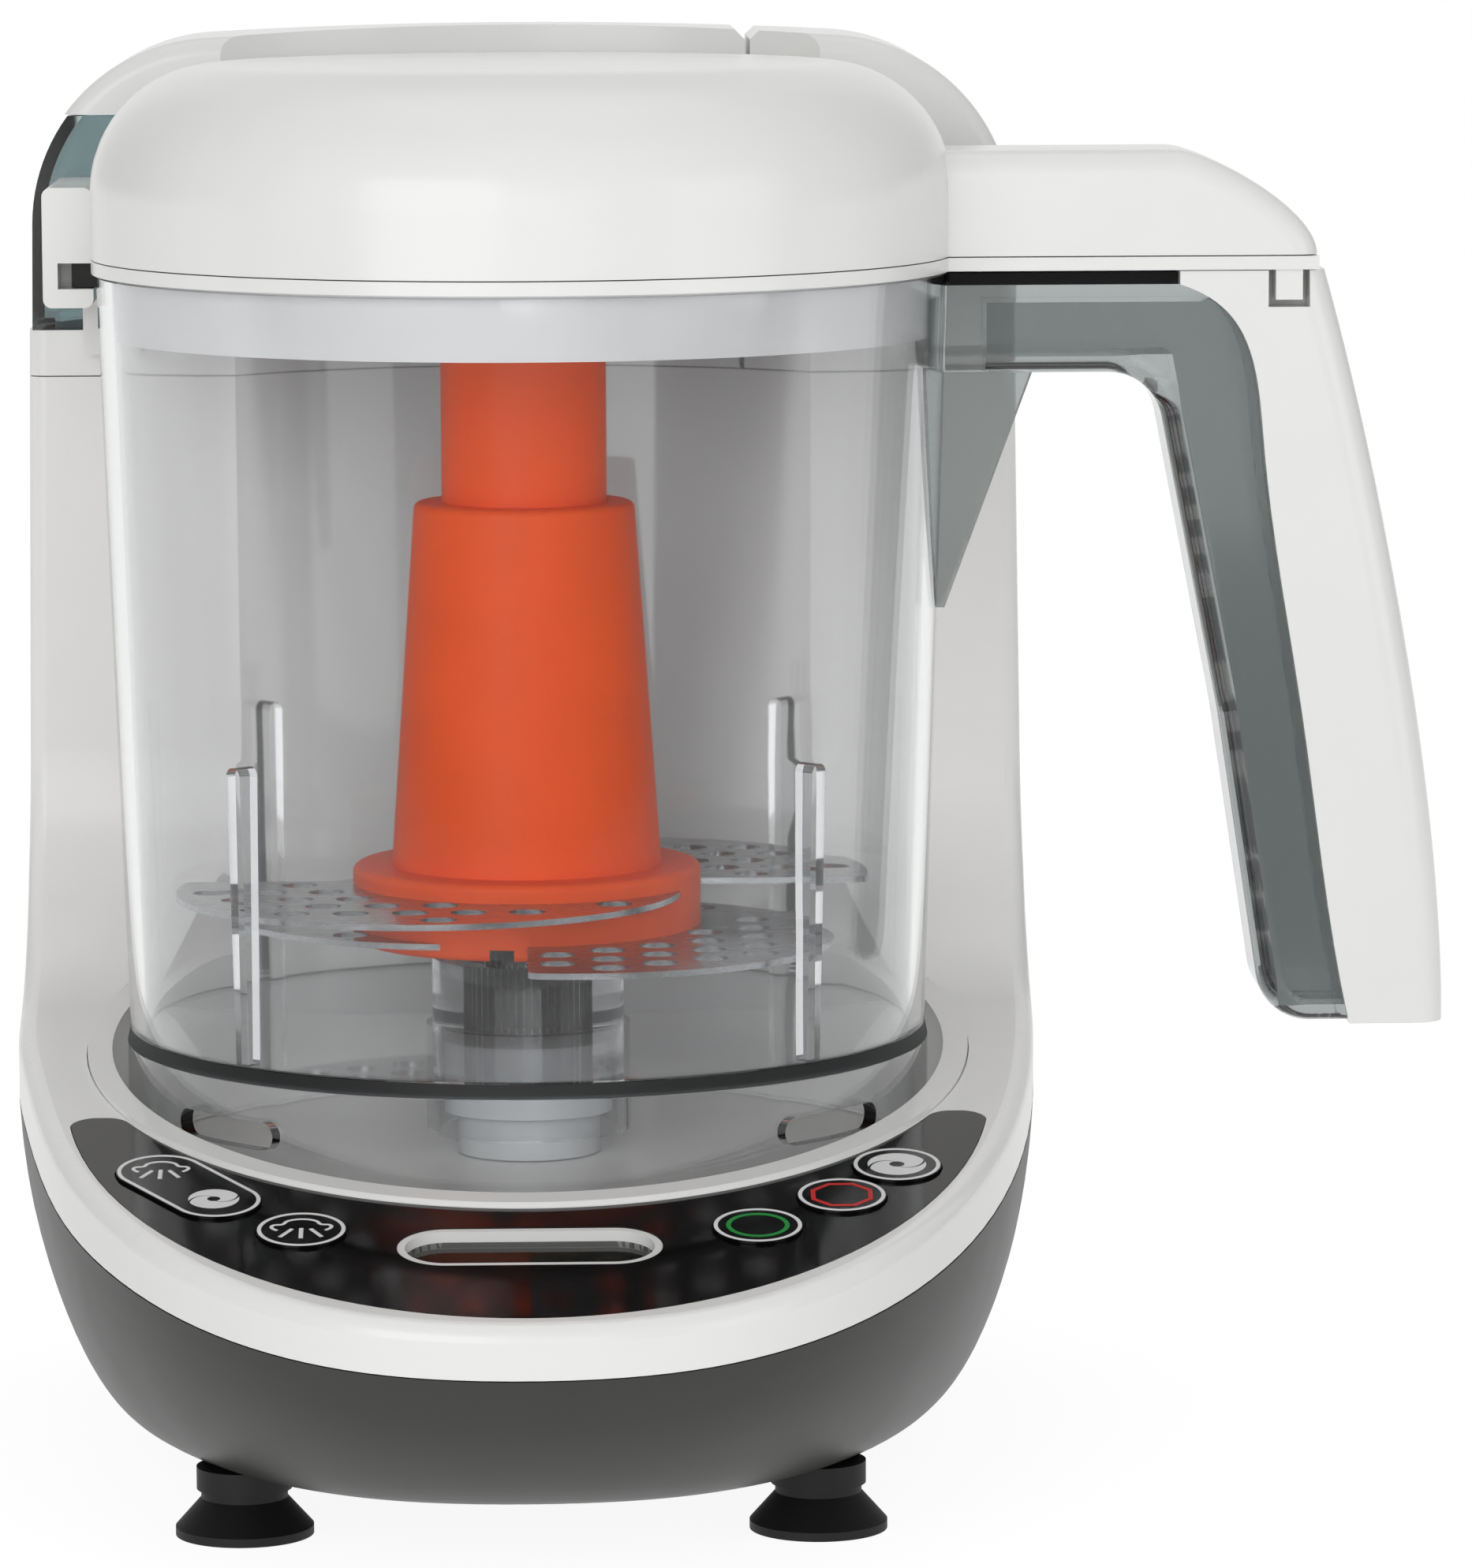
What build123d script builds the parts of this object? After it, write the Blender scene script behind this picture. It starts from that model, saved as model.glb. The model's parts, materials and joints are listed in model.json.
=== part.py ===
from build123d import *
import math
import os

# Baby food maker: a lift-off steaming and blending bowl on a base with a water tower behind it.
# Sizes are in millimetres. The model is laid out round the drive axis, with the table at z = 0 and
# the control panel towards -Y. The finished pieces move so that the origin is under their middle.

# Body of the base and tower
BODY_HALF = 86.0
HEAD_HALF = 84.0
LEAN_START = 90.0
BODY_TOP = 235.0
TOP_CORNER = 32.0
TOP_CROWN = 3.5
FRONT_REACH = 122.0
FRONT_CENTRE = 45.0
FRONT_POWER = 2.35
REAR_REACH = 94.0
REAR_CORNER = 30.0
TOWER_FRONT = 52.0
SWEEP_RADIUS = 40.0
DECK_HEIGHT = 68.0
DECK_TILT = 11.0
SEAM_HEIGHT = 57.6
SEAM_TILT = 10.0
SEAM_GAP = 0.2
SHELL_BOTTOM = 11.0
SHELL_SIDE_TUCK = 15.0
SHELL_FRONT_TUCK = 27.0
SHELL_POWER = 1.6
WALL = 2.5
EDGE_ROUND = 3.0
FIT = 0.15

# Bowl, well and recess
BOWL_TOP_RADIUS = 70.0
BOWL_BASE_RADIUS = 66.0
BOWL_TOP = 196.5
BOWL_WALL = 2.5
FLOOR_TOP = 72.2
FLOOR_THICK = 2.6
SKIRT_RADIUS = 66.6
WELL_FLOOR = 50.0
WELL_GAP = 2.6
SEAT_GAP = 0.2
LIP_WIDTH = 4.1
LIP_RISE = 0.8
WELL_FLANGE = 3.5
RECESS_RADIUS = 73.0
RIB_COUNT = 4
RIB_WIDTH = 3.0
RIB_DEPTH = 2.2
RIB_TOP = 119.0
POST_RADIUS = 12.0
POST_TOP = 120.0
POST_COLLAR_RADIUS = 16.0
POST_COLLAR_TOP = 83.0
SLOT_ANGLE = 48.0
SLOT_LENGTH = 23.0
SLOT_HEIGHT = 4.6
SLOT_Z = 61.5

# Handle
GRIP_DEPTH = 25.0
FRAME_DEPTH = 23.0
HANDLE_BOTTOM = 72.0
HANDLE_REACH = 151.8
ARM_LOW = 180.0
ARM_TOP = 194.6
PAD_HEIGHT = 1.8
PAD_WIDTH = 18.0
GRIP_BEND = 9.0
GRIP_ROUND = 5.0
FRAME_ROUND = 4.0
GUSSET_THICK = 6.0
FRAME_WALL = 3.0
GRIP_SPLIT = [(107.5, ARM_TOP), (116.2, 189.0), (121.4, 168.0), (127.9, 123.7), (136.0, HANDLE_BOTTOM)]
GRIP_INNER = [(BOWL_BASE_RADIUS, ARM_LOW), (103.5, ARM_LOW), (114.3, 123.7), (122.0, HANDLE_BOTTOM)]
GRIP_CURVE = [(131.6, 196.8), (136.6, 177.7), (142.6, 150.0), (148.2, 117.0), (150.9, 93.0)]
GRIP_OUTER = [*GRIP_CURVE, (HANDLE_REACH, 76.6)]
GUSSET = [(BOWL_BASE_RADIUS, ARM_LOW), (84.0, ARM_LOW), (69.4, 140.8), (BOWL_BASE_RADIUS, 140.8)]

# Lid
LID_RADIUS = 70.8
LID_LOW = 197.0
LID_TOP = 231.0
LID_SHOULDER = 21.0
LID_WALL = 2.2
LID_BASE_THICK = 2.4
LID_ARM_TOP = 216.5
LID_ARM_STEP = 1.4
LID_ARM_NOSE = 23.6
LID_NOSE_PULL = (0.25, 0.42)
SEAL_RADIUS = 66.6
SEAL_LOW = 186.5
SEAL_WALL = 2.0
TAB_LOW = 192.0
TAB_X = (123.2, 127.6)
TAB_DEPTH = 6.0
TAB_GAP = 1.2
LID_ARM_WIDTH = 27.0
LID_ARM_ROUND = 4.0

# Blade set
STEM_RADIUS = 13.65
STEM_TOP = 193.5
CONE_TOP_RADIUS = 18.2
CONE_TOP = 158.8
CONE_BASE_RADIUS = 22.4
FLANGE_RADIUS = 28.9
FLANGE_TOP = 98.6
FLANGE_LOW = 86.0
HUB_BORE = 13.0
HUB_BORE_TOP = 122.0
BLADE_THICK = 1.0
UPPER_BLADE_Z = 94.6
LOWER_BLADE_Z = 87.6
WING_RADIUS = 41.5
WING_OFFSET = (-16.0, -9.0)
BLADE_HOLE = 2.9
BLADE_PITCH = 9.4
SPINDLE_RADIUS = 4.0
RUN_CLEARANCE = 0.05
SPINDLE_TOP = 131.0
BLADE_DISC = 24.0
BLADE_TIP = 2.0
BLADE_MARGIN = 1.8
HUB_ROUND = 1.2
STEM_PEG = 8.0
STEM_PEG_LENGTH = 12.0
NOTCH_PLACE = 2.2
NOTCH_SIZE = 4.0

# Drive
COUPLING_RADIUS = 12.0
DOG_LENGTH = 18.0
DOG_WIDTH = 5.0
DOG_LOW = 57.0
DOG_TOP = 62.0
MOTOR_RADIUS = 27.0
MOTOR_LOW = 17.0
MOTOR_PLATE_THICK = 2.0
MOTOR_BOSS = 2.5
SHAFT_RADIUS = 3.0
SHAFT_HOLE = 5.0
MOTOR_PLATE_RADIUS = 37.0
DOG_GAP = 0.4
CUP_DRIVE_RADIUS = 14.0
GUARD_GAP = 1.0
GUARD_WALL = 2.0
POST_BORE = 7.0
SEAL_THICK = 2.0

# Screws and bosses
SCREW_RADIUS = 1.5
SCREW_HEAD = 2.9
SCREW_HEAD_HEIGHT = 1.8
SCREW_TIP = 30.0
PILOT_GAP = 0.05
BOSS_RADIUS = 4.0
BASE_SCREWS = [(53.0, -26.0), (-53.0, -26.0), (50.0, 38.0), (-50.0, 38.0)]
MOTOR_SCREWS = [(22.6, 22.6), (-22.6, 22.6), (22.6, -22.6), (-22.6, -22.6)]

# Steam, power and mains inlet
STEAM_PORT = (0.0, 50.0)
STUB_RADIUS = 4.5
STUB_BORE = 2.5
STUB_LOW = 54.0
NOZZLE_RADIUS = 7.5
NOZZLE_GAP = 0.5
NOZZLE_TOP = 56.0
NOZZLE_SPIGOT = 5.0
NOZZLE_LOW = 45.0
BOILER_RADIUS = 15.0
BOILER_HEIGHT = 55.0
WATER_HOSE_LENGTH = 16.0
BRACKET_SHIFT = 5.0
THERMOSTAT_RADIUS = 3.4
VALVE_RADIUS = 8.0
VALVE_HEIGHT = 12.0
VALVE_STEM = 5.0
HOSE_RADIUS = 4.0
HOSE_BORE = 2.5
HOSE_SHIFT = 4.0
HOSE_RUN = 33.0
HOSE_BEND = 10.0
POWER_BOARD_Z = 19.0
BOARD_POST_RADIUS = 3.0
TRANSFORMER = (24.0, 20.0, 14.0)
RELAY = (14.0, 12.0, 11.0)
CAPACITOR_RADIUS = 6.0
CAPACITOR_HEIGHT = 12.0
BOARD_POST_X = 34.0
BOARD_POST_SPAN = 30.0
BOARD_POST_SET = 11.0
GLAND_X = 40.0
GLAND_Z = 40.0
GLAND_RADIUS = 6.0
GLAND_BORE = 3.3
GLAND_FLANGE = 8.0
GLAND_COLLAR = 5.0
GLAND_LENGTH = 16.0
GLAND_SET = 0.5

# Control panel
PANEL_HALF = 75.5
PANEL_RIM = 4.0
PANEL_CENTRE = -18.0
PANEL_END = -33.0
PANEL_CORNER = 4.0
PANEL_THICK = 2.0
PANEL_INNER_GAP = 0.6
BUTTON_RADIUS = 7.1
BUTTON_GAP = 0.25
BUTTON_PROUD = 0.5
BUTTON_TRAVEL = 0.8
BUTTON_STEM = 2.4
BUTTON_ANGLES = (23.3, 35.0, 45.5)
BUTTON_SHIFT = 1.0
WINDOW_SHARE = 0.358
WINDOW_LENGTH = 41.6
WINDOW_WIDTH = 15.6
BEZEL_WALL = 1.2
GLASS_THICK = 2.6
LCD_MARGIN = 2.0
LCD_THICK = 3.0
BOARD_DEPTH = 10.0
BOARD_THICK = 1.6
SWITCH_SIZE = 6.0
CAP_UNDER = 0.9
STEM_END = 5.5
BOARD_INSET = 6.0
BOARD_BOSS_RADIUS = 2.2
BOARD_BOSS_ANGLES = (13.0, 40.2)
BOARD_BOSS_SET = 10.0

# Water tank and tower head
TANK_HEIGHT = 59.2
TANK_RIGHT = 38.6
HEAD_GAP = 0.9
COLLAR_HEIGHT = 8.0
TANK_LID_HEIGHT = 14.6
TANK_STEP = 0.6
TANK_WALL = 2.0
COLLAR_WALL = 2.0
HEAD_ROUND = 14.0
HINGE_ROUND = 2.4
HINGE_PIN = 1.0
HINGE_EARS = (-32.0, -4.0)
EAR_WIDTH = 4.0
EAR_GAP = 0.3
WATER_PORT = (-63.0, 73.0)

# Interlock
BRACKET_DROP = 7.0
BRACKET_HEIGHT = 20.0
BRACKET_OUT = -79.8
BRACKET_IN = -71.4
BRACKET_FRONT = 15.0
PLUNGER_DROP = 1.7
PLUNGER_HEIGHT = 4.0
PLUNGER_DEPTH = 6.0
PLUNGER_TRAVEL = 2.0
PLUNGER_GAP = 0.3
PLUNGER_ROUND = 1.2
BRACKET_ROUND = 1.5
BRACKET_POST = 6.0
BRACKET_FOOT = (-75.0, -71.4)
BRACKET_FOOT_HEIGHT = 10.0
SWITCH_DEPTH = (29.0, 44.0)
SWITCH_HEIGHT = 13.0

# Feet
FOOT_SIDE_SET = 25.3
FOOT_FRONT_SET = 30.0
FOOT_REAR_SET = 22.0
CUP_RADIUS = 11.0
CUP_HEIGHT = 6.0
CUP_LIP = 1.4
NECK_RADIUS = 6.9
POST_FOOT_RADIUS = 7.6
STUD_RADIUS = 3.0

# Places worked out from the sizes above
TILT = math.tan(math.radians(DECK_TILT))
WELL_RADIUS = SKIRT_RADIUS + WELL_GAP
LIP_RADIUS = WELL_RADIUS + LIP_WIDTH
SKIRT_LOW = WELL_FLOOR + SEAT_GAP
FLOOR_LOW = FLOOR_TOP - FLOOR_THICK
WELL_UNDER = WELL_FLOOR - WALL
MOTOR_PLATE_TOP = WELL_UNDER - MOTOR_BOSS
MOTOR_TOP = MOTOR_PLATE_TOP - MOTOR_PLATE_THICK
DECK_SKIN = PANEL_THICK + WALL
LID_SPLIT = LID_LOW + LID_BASE_THICK
TANK_FLOOR = BODY_TOP - TANK_HEIGHT
COLLAR_TOP = TANK_FLOOR + COLLAR_HEIGHT
TANK_RIM = BODY_TOP - TANK_LID_HEIGHT
VALVE_LOW = TANK_FLOOR - VALVE_HEIGHT
BOILER_TOP = VALVE_LOW - WATER_HOSE_LENGTH
BOILER_LOW = BOILER_TOP - BOILER_HEIGHT
PANEL_FRONT = FRONT_REACH - PANEL_RIM
LID_ARM_END = GRIP_OUTER[0][0] - LID_ARM_STEP
LID_ARM_STRAIGHT = LID_ARM_END - LID_ARM_NOSE
PLUNGER_Z = LID_LOW - PLUNGER_DROP
BRACKET_LOW = LID_LOW - BRACKET_DROP
BRACKET_TOP = BRACKET_LOW + BRACKET_HEIGHT
BRACKET_FOOT_LOW = BRACKET_LOW - BRACKET_FOOT_HEIGHT
SWITCH_TOP = BRACKET_LOW + SWITCH_HEIGHT
FOOT_X = BODY_HALF - SHELL_SIDE_TUCK - FOOT_SIDE_SET
FOOT_FRONT = FOOT_FRONT_SET + SHELL_FRONT_TUCK - FRONT_REACH
FOOT_REAR = REAR_REACH - SHELL_SIDE_TUCK - FOOT_REAR_SET
BOARD_FRONT = BOARD_POST_SET + SHELL_FRONT_TUCK - FRONT_REACH
BOARD_REAR = BOARD_FRONT + BOARD_POST_SPAN
BOARD_POSTS = [(x, y) for x in (BOARD_POST_X, -BOARD_POST_X) for y in (BOARD_REAR, BOARD_FRONT)]
FEET = {
    "foot_front_left": (-FOOT_X, FOOT_FRONT),
    "foot_front_right": (FOOT_X, FOOT_FRONT),
    "foot_rear_left": (-FOOT_X, FOOT_REAR),
    "foot_rear_right": (FOOT_X, FOOT_REAR),
}
FAR = 400.0
CAVITY_LOW = TANK_FLOOR - LIP_WIDTH
ORIGIN_SHIFT = ((BODY_HALF - HANDLE_REACH) / 2, (FRONT_REACH - REAR_REACH) / 2, 0.0)

DECK = Plane(
    origin=(0, 0, DECK_HEIGHT),
    x_dir=(1, 0, 0),
    z_dir=(0, -math.sin(math.radians(DECK_TILT)), math.cos(math.radians(DECK_TILT))),
)
SEAM = Plane(
    origin=(0, 0, SEAM_HEIGHT),
    x_dir=(1, 0, 0),
    z_dir=(0, -math.sin(math.radians(SEAM_TILT)), math.cos(math.radians(SEAM_TILT))),
)


# Small shape helpers
def column(radius, low, high, at=(0.0, 0.0)):
    """Upright cylinder between two heights."""
    return Pos(at[0], at[1], (low + high) / 2) * Cylinder(radius, high - low)


def tube(outer, inner, low, high, at=(0.0, 0.0)):
    """Upright tube between two heights."""
    return column(outer, low, high, at) - column(inner, low, high, at)


def block(low, high):
    """Box between two corners."""
    middle = [(a + b) / 2 for a, b in zip(low, high)]
    return Pos(*middle) * Box(*[b - a for a, b in zip(low, high)])


def turned(points):
    """Solid of revolution about the drive axis from (radius, height) points."""
    outline = Polyline(*[(r, 0, z) for r, z in points], close=True)
    return revolve(make_face(outline.edges()), Axis.Z)


def slab(plane, low, high):
    """Wide plate between two distances from a tilted plane."""
    return plane * Pos(0, 0, (low + high) / 2) * Box(2 * FAR, 2 * FAR, high - low)


def on_deck(x, y):
    """Place on the tilted deck, given the point seen from above."""
    return DECK * Pos(x, y / math.cos(math.radians(DECK_TILT)), 0)


# Base and tower
def plan_outline(half, front, rear, corner):
    """Body seen from above: a superelliptic front, straight sides and round rear corners."""
    steps = 12
    points = []
    for step in range(steps + 1):
        angle = math.pi * step / steps
        across = abs(math.cos(angle)) ** (2 / FRONT_POWER)
        ahead = abs(math.sin(angle)) ** (2 / FRONT_POWER)
        side = 1 if step < steps / 2 else -1
        points.append((side * half * across, FRONT_CENTRE - (FRONT_CENTRE + front) * ahead))
    lobe = Spline(*points, tangents=[(0, -1), (0, 1)])
    back = Polyline((-half, FRONT_CENTRE), (-half, rear), (half, rear), (half, FRONT_CENTRE))
    outline = make_face([*lobe.edges(), *back.edges()])
    corners = [v for v in outline.vertices() if v.Y > rear - corner / 2]
    return fillet(corners, corner)


def side_profile(inset, drop):
    """Body seen from the side: a tilted deck, a sweep up into the tower and a round rear top."""
    face = TOWER_FRONT + inset
    back = REAR_REACH - inset
    top = BODY_TOP - inset + TOP_CROWN
    meet = (face, DECK_HEIGHT - drop + face * TILT)
    deck_end = (-FAR, DECK_HEIGHT - drop - FAR * TILT)
    points = [(-FAR, -FAR), deck_end, meet, (face, top), (back, top), (back, -FAR)]
    outline = make_face(Polyline(*points, close=True).edges())
    inner = outline.vertices().sort_by_distance((*meet, 0))[0]
    outline = fillet(inner, SWEEP_RADIUS + inset)
    outer = outline.vertices().sort_by_distance((back, top, 0))[0]
    return fillet(outer, HEAD_ROUND - inset)


def front_profile(inset):
    """Body seen from the front: sides that lean in above the deck and an arched top."""
    half = BODY_HALF - inset
    head = HEAD_HALF - inset
    top = BODY_TOP - inset
    spring = top - TOP_CROWN
    arch = ThreePointArc((head, spring), (0, top), (-head, spring))
    sides = Polyline(
        (-head, spring), (-half, LEAN_START), (-half, 0), (half, 0), (half, LEAN_START), (head, spring)
    )
    outline = make_face([*arch.edges(), *sides.edges()])
    corners = [v for v in outline.vertices() if v.Y > spring - 1]
    return fillet(corners, TOP_CORNER - inset)


def plan_prism(inset):
    """Upright prism on the body's outline."""
    outline = plan_outline(BODY_HALF - inset, FRONT_REACH - inset, REAR_REACH - inset, REAR_CORNER - inset)
    return extrude(outline, BODY_TOP)


def arch_prism(inset):
    """Level prism on the body's front profile."""
    return extrude(Plane.XZ * front_profile(inset), FAR, both=True)


def body_block(inset, drop):
    """Whole white body as one block, set in by a wall."""
    profile = extrude(Plane.YZ * side_profile(inset, drop), FAR, both=True)
    return plan_prism(inset) & arch_prism(inset) & profile


def rounded_body():
    """White body block with its deck edge and the front edge of its tower rounded."""
    body = body_block(0, 0)
    faces = [f for f in body.faces() if f.geom_type != GeomType.EXTRUSION]
    profile = [f for f in faces if f.normal_at(f.center()).Y < -0.1]
    rim = []
    for face in profile:
        others = [e for f in profile if f is not face for e in f.edges()]
        rim += [e for e in face.edges() if not any(e.is_same(o) for o in others)]
    return fillet(rim, EDGE_ROUND)


def tower_cavity(inset):
    """Inside of the tower's head, set in from its outer faces by a wall."""
    core = body_block(inset, 0) & block((-FAR, TOWER_FRONT, CAVITY_LOW), (FAR, FAR, FAR))
    return core - column(RECESS_RADIUS + inset, 0, BODY_TOP)


def shell_block(inset):
    """Lower shell as a solid dish: its sections turn from level to the seam's tilt as they widen."""
    sections = []
    for share in (0.0, 0.06, 0.2, 0.42, 0.7, 1.0):
        tuck = 1 - (1 - (1 - share) ** SHELL_POWER) ** (1 / SHELL_POWER)
        tilt = math.radians(share * SEAM_TILT)
        half = BODY_HALF - inset - tuck * SHELL_SIDE_TUCK
        front = (FRONT_REACH - inset - tuck * SHELL_FRONT_TUCK) / math.cos(tilt)
        rear = (REAR_REACH - inset - tuck * SHELL_SIDE_TUCK) / math.cos(tilt)
        floor = SHELL_BOTTOM + inset
        origin = (0, 0, floor + share * (SEAM_HEIGHT - floor))
        level = Plane(origin=origin, x_dir=(1, 0, 0), z_dir=(0, -math.sin(tilt), math.cos(tilt)))
        sections.append(level * plan_outline(half, front, rear, REAR_CORNER - inset))
    return loft(sections)


def make_lower_shell():
    """Charcoal dish with screw holes, foot sockets, board posts and the cord gland's hole."""
    shell = shell_block(0) - shell_block(WALL)
    shell &= slab(SEAM, -FAR, -SEAM_GAP)
    floor = SHELL_BOTTOM + WALL
    for x, y in BOARD_POSTS:
        shell += column(BOARD_POST_RADIUS, floor, POWER_BOARD_Z, (x, y))
    for x, y in BASE_SCREWS:
        shell -= column(SCREW_RADIUS + FIT, 0, floor, (x, y))
    for x, y in FEET.values():
        shell -= column(STUD_RADIUS + FIT, 0, floor + WALL + FIT, (x, y))
    return shell - gland_bar(GLAND_RADIUS + FIT, 0)


def gland_bar(radius, start):
    """Level rod on the gland's axis, from a distance ahead of the back of the body."""
    length = REAR_REACH - GLAND_SET - start
    middle = (GLAND_X, start + length / 2, GLAND_Z)
    return Pos(*middle) * Rot(90, 0, 0) * Cylinder(radius, length)


def make_cord_gland():
    """Bush for a mains lead, with a collar inside the shell wall."""
    wall = REAR_REACH - GLAND_SET - GLAND_LENGTH
    gland = gland_bar(GLAND_RADIUS, wall)
    middle = (GLAND_X, wall + GLAND_COLLAR / 2, GLAND_Z)
    collar = Pos(*middle) * Rot(90, 0, 0) * Cylinder(GLAND_FLANGE, GLAND_COLLAR)
    return gland + collar - gland_bar(GLAND_BORE, wall)


def make_bowl_well():
    """White cup with its lip round the bowl's skirt, and the posts under it that carry motor and shell."""
    below = slab(DECK, -FAR, 0)
    cup = column(WELL_RADIUS + WALL, WELL_UNDER, BODY_TOP) & below
    cup += column(LIP_RADIUS, WELL_UNDER, BODY_TOP) & slab(DECK, -DECK_SKIN, LIP_RISE)
    flange = column(LIP_RADIUS + WELL_FLANGE, MOTOR_PLATE_TOP, BODY_TOP)
    flange &= slab(DECK, -DECK_SKIN - WALL, -DECK_SKIN)
    cup += flange & block((-FAR, -FAR, 0), (FAR, -WELL_FLANGE, FAR))
    cup -= column(WELL_RADIUS, WELL_FLOOR, BODY_TOP)
    floor = SHELL_BOTTOM + WALL
    for x, y in BASE_SCREWS:
        boss = column(BOSS_RADIUS, floor, WELL_UNDER, (x, y))
        cup += boss - column(SCREW_RADIUS + PILOT_GAP, 0, SCREW_TIP, (x, y))
    for x, y in MOTOR_SCREWS:
        boss = column(BOSS_RADIUS, MOTOR_PLATE_TOP, WELL_UNDER, (x, y))
        cup += boss - column(SCREW_RADIUS + PILOT_GAP, 0, BODY_TOP, (x, y))
    cup -= column(SHAFT_HOLE, WELL_UNDER, WELL_FLOOR)
    return cup - column(NOZZLE_SPIGOT + FIT, WELL_UNDER, WELL_FLOOR, STEAM_PORT)


def make_upper_housing(body):
    """White housing: deck with a round opening for the well, tower and tank shelf, open below."""
    recess = column(RECESS_RADIUS, 0, BODY_TOP) & slab(DECK, LIP_RISE, FAR)
    hole = column(LIP_RADIUS + FIT, 0, BODY_TOP) & slab(DECK, -FAR, LIP_RISE)
    cavity = body_block(WALL, DECK_SKIN)
    cavity -= column(RECESS_RADIUS + WALL, DECK_HEIGHT, BODY_TOP)
    cavity -= block((-FAR, -FAR, TANK_FLOOR - WALL), (FAR, FAR, FAR))
    housing = body - recess - hole - cavity
    housing -= block((-FAR, -FAR, TANK_FLOOR), (FAR, FAR, FAR))
    housing &= slab(SEAM, 0, FAR)
    for x, y in board_bosses():
        top = PANEL_THICK + WALL / 2
        place = on_deck(x, y) * Pos(0, 0, -(BOARD_DEPTH + top) / 2)
        housing += place * Cylinder(BOARD_BOSS_RADIUS, BOARD_DEPTH - top)
    return housing - housing_cuts()


def housing_cuts():
    """Panel recess, button and window holes, and the water port."""
    cuts = extrude(panel_plan(FIT), BODY_TOP) & slab(DECK, -PANEL_THICK, LIP_RISE)
    for x, y in button_places():
        cuts += on_deck(x, y) * Pos(0, 0, -DECK_SKIN / 2) * Cylinder(BUTTON_STEM + BUTTON_GAP, 2 * DECK_SKIN)
    cuts += window_pill(FIT, -DECK_SKIN - WALL, 0)
    return cuts + column(VALVE_RADIUS + FIT, TANK_FLOOR - 2 * WALL, TANK_FLOOR + WALL, WATER_PORT)


def make_head_cap(body):
    """Right-hand cap that closes the tower's head."""
    cap = body - column(RECESS_RADIUS, 0, BODY_TOP) - tower_cavity(WALL)
    cap += body & inner_wall(TANK_RIGHT + HEAD_GAP)
    cap &= block((TANK_RIGHT + HEAD_GAP, TOWER_FRONT, TANK_FLOOR + SEAT_GAP), (FAR, FAR, FAR))
    return cap - head_notch() - column(RECESS_RADIUS, 0, BODY_TOP)


def inner_wall(x):
    """Upright wall across the tower's head."""
    return block((x, TOWER_FRONT, TANK_FLOOR), (x + WALL, FAR, FAR))


def head_notch():
    """Shallow vee between the tank lid and the cap."""
    middle = TANK_RIGHT + HEAD_GAP / 2
    return Pos(middle, REAR_REACH, BODY_TOP) * Rot(0, 45, 0) * Box(NOTCH_SIZE, 2 * FAR, NOTCH_SIZE)


# Control panel
def panel_plan(grow):
    """Crescent of the control panel seen from above."""
    outer = Pos(0, PANEL_CENTRE) * Ellipse(PANEL_HALF + grow, PANEL_FRONT + PANEL_CENTRE + grow)
    crescent = outer - Circle(LIP_RADIUS + PANEL_INNER_GAP - grow)
    crescent -= Pos(0, PANEL_END + grow + FAR / 2) * Rectangle(2 * FAR, FAR)
    return fillet(crescent.vertices(), PANEL_CORNER)


def panel_edge(angle):
    """Distance from the drive axis to the panel's outer edge, at an angle from straight ahead."""
    across, ahead = math.sin(math.radians(angle)), math.cos(math.radians(angle))
    half, depth = PANEL_HALF, PANEL_FRONT + PANEL_CENTRE
    square = (across / half) ** 2 + (ahead / depth) ** 2
    slope = ahead * PANEL_CENTRE / depth**2
    rest = (PANEL_CENTRE / depth) ** 2 - 1
    return (-slope + math.sqrt(slope**2 - square * rest)) / square


def panel_place(angle, radius):
    """Point seen from above at an angle from straight ahead and a radius from the drive axis."""
    return (radius * math.sin(math.radians(angle)), -radius * math.cos(math.radians(angle)))


def window_centre():
    """Middle of the display window seen from above."""
    return (0.0, -LIP_RADIUS - WINDOW_SHARE * (PANEL_FRONT - LIP_RADIUS))


def board_bosses():
    """Middles of the control board's bosses seen from above."""
    right = [panel_place(a, panel_edge(a) - BOARD_BOSS_SET) for a in BOARD_BOSS_ANGLES]
    return right + [(-x, y) for x, y in right]


def window_pill(grow, low, high):
    """Pill-shaped prism on the display window."""
    pill = SlotOverall(WINDOW_LENGTH + 2 * grow, WINDOW_WIDTH + 2 * grow)
    return on_deck(*window_centre()) * Pos(0, 0, low) * extrude(pill, high - low)


def button_places():
    """Middles of the button stems seen from above, the double button's two stems first."""
    right = [panel_place(a, (LIP_RADIUS + panel_edge(a)) / 2 - BUTTON_SHIFT) for a in BUTTON_ANGLES]
    return [(-x, y) for x, y in reversed(right)] + right


def button_disc(place, grow, low, high):
    """Round button prism on the deck."""
    return on_deck(*place) * Pos(0, 0, (low + high) / 2) * Cylinder(BUTTON_RADIUS + grow, high - low)


def double_disc(grow, low, high):
    """Long button prism over the two outer left places."""
    first, second = button_places()[:2]
    slope = math.cos(math.radians(DECK_TILT))
    run = (second[0] - first[0], (second[1] - first[1]) / slope)
    pill = SlotCenterToCenter(math.hypot(*run), 2 * (BUTTON_RADIUS + grow))
    turn = Rot(0, 0, math.degrees(math.atan2(run[1], run[0])))
    middle = ((first[0] + second[0]) / 2, (first[1] + second[1]) / 2)
    return on_deck(*middle) * Pos(0, 0, low) * turn * extrude(pill, high - low)


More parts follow.
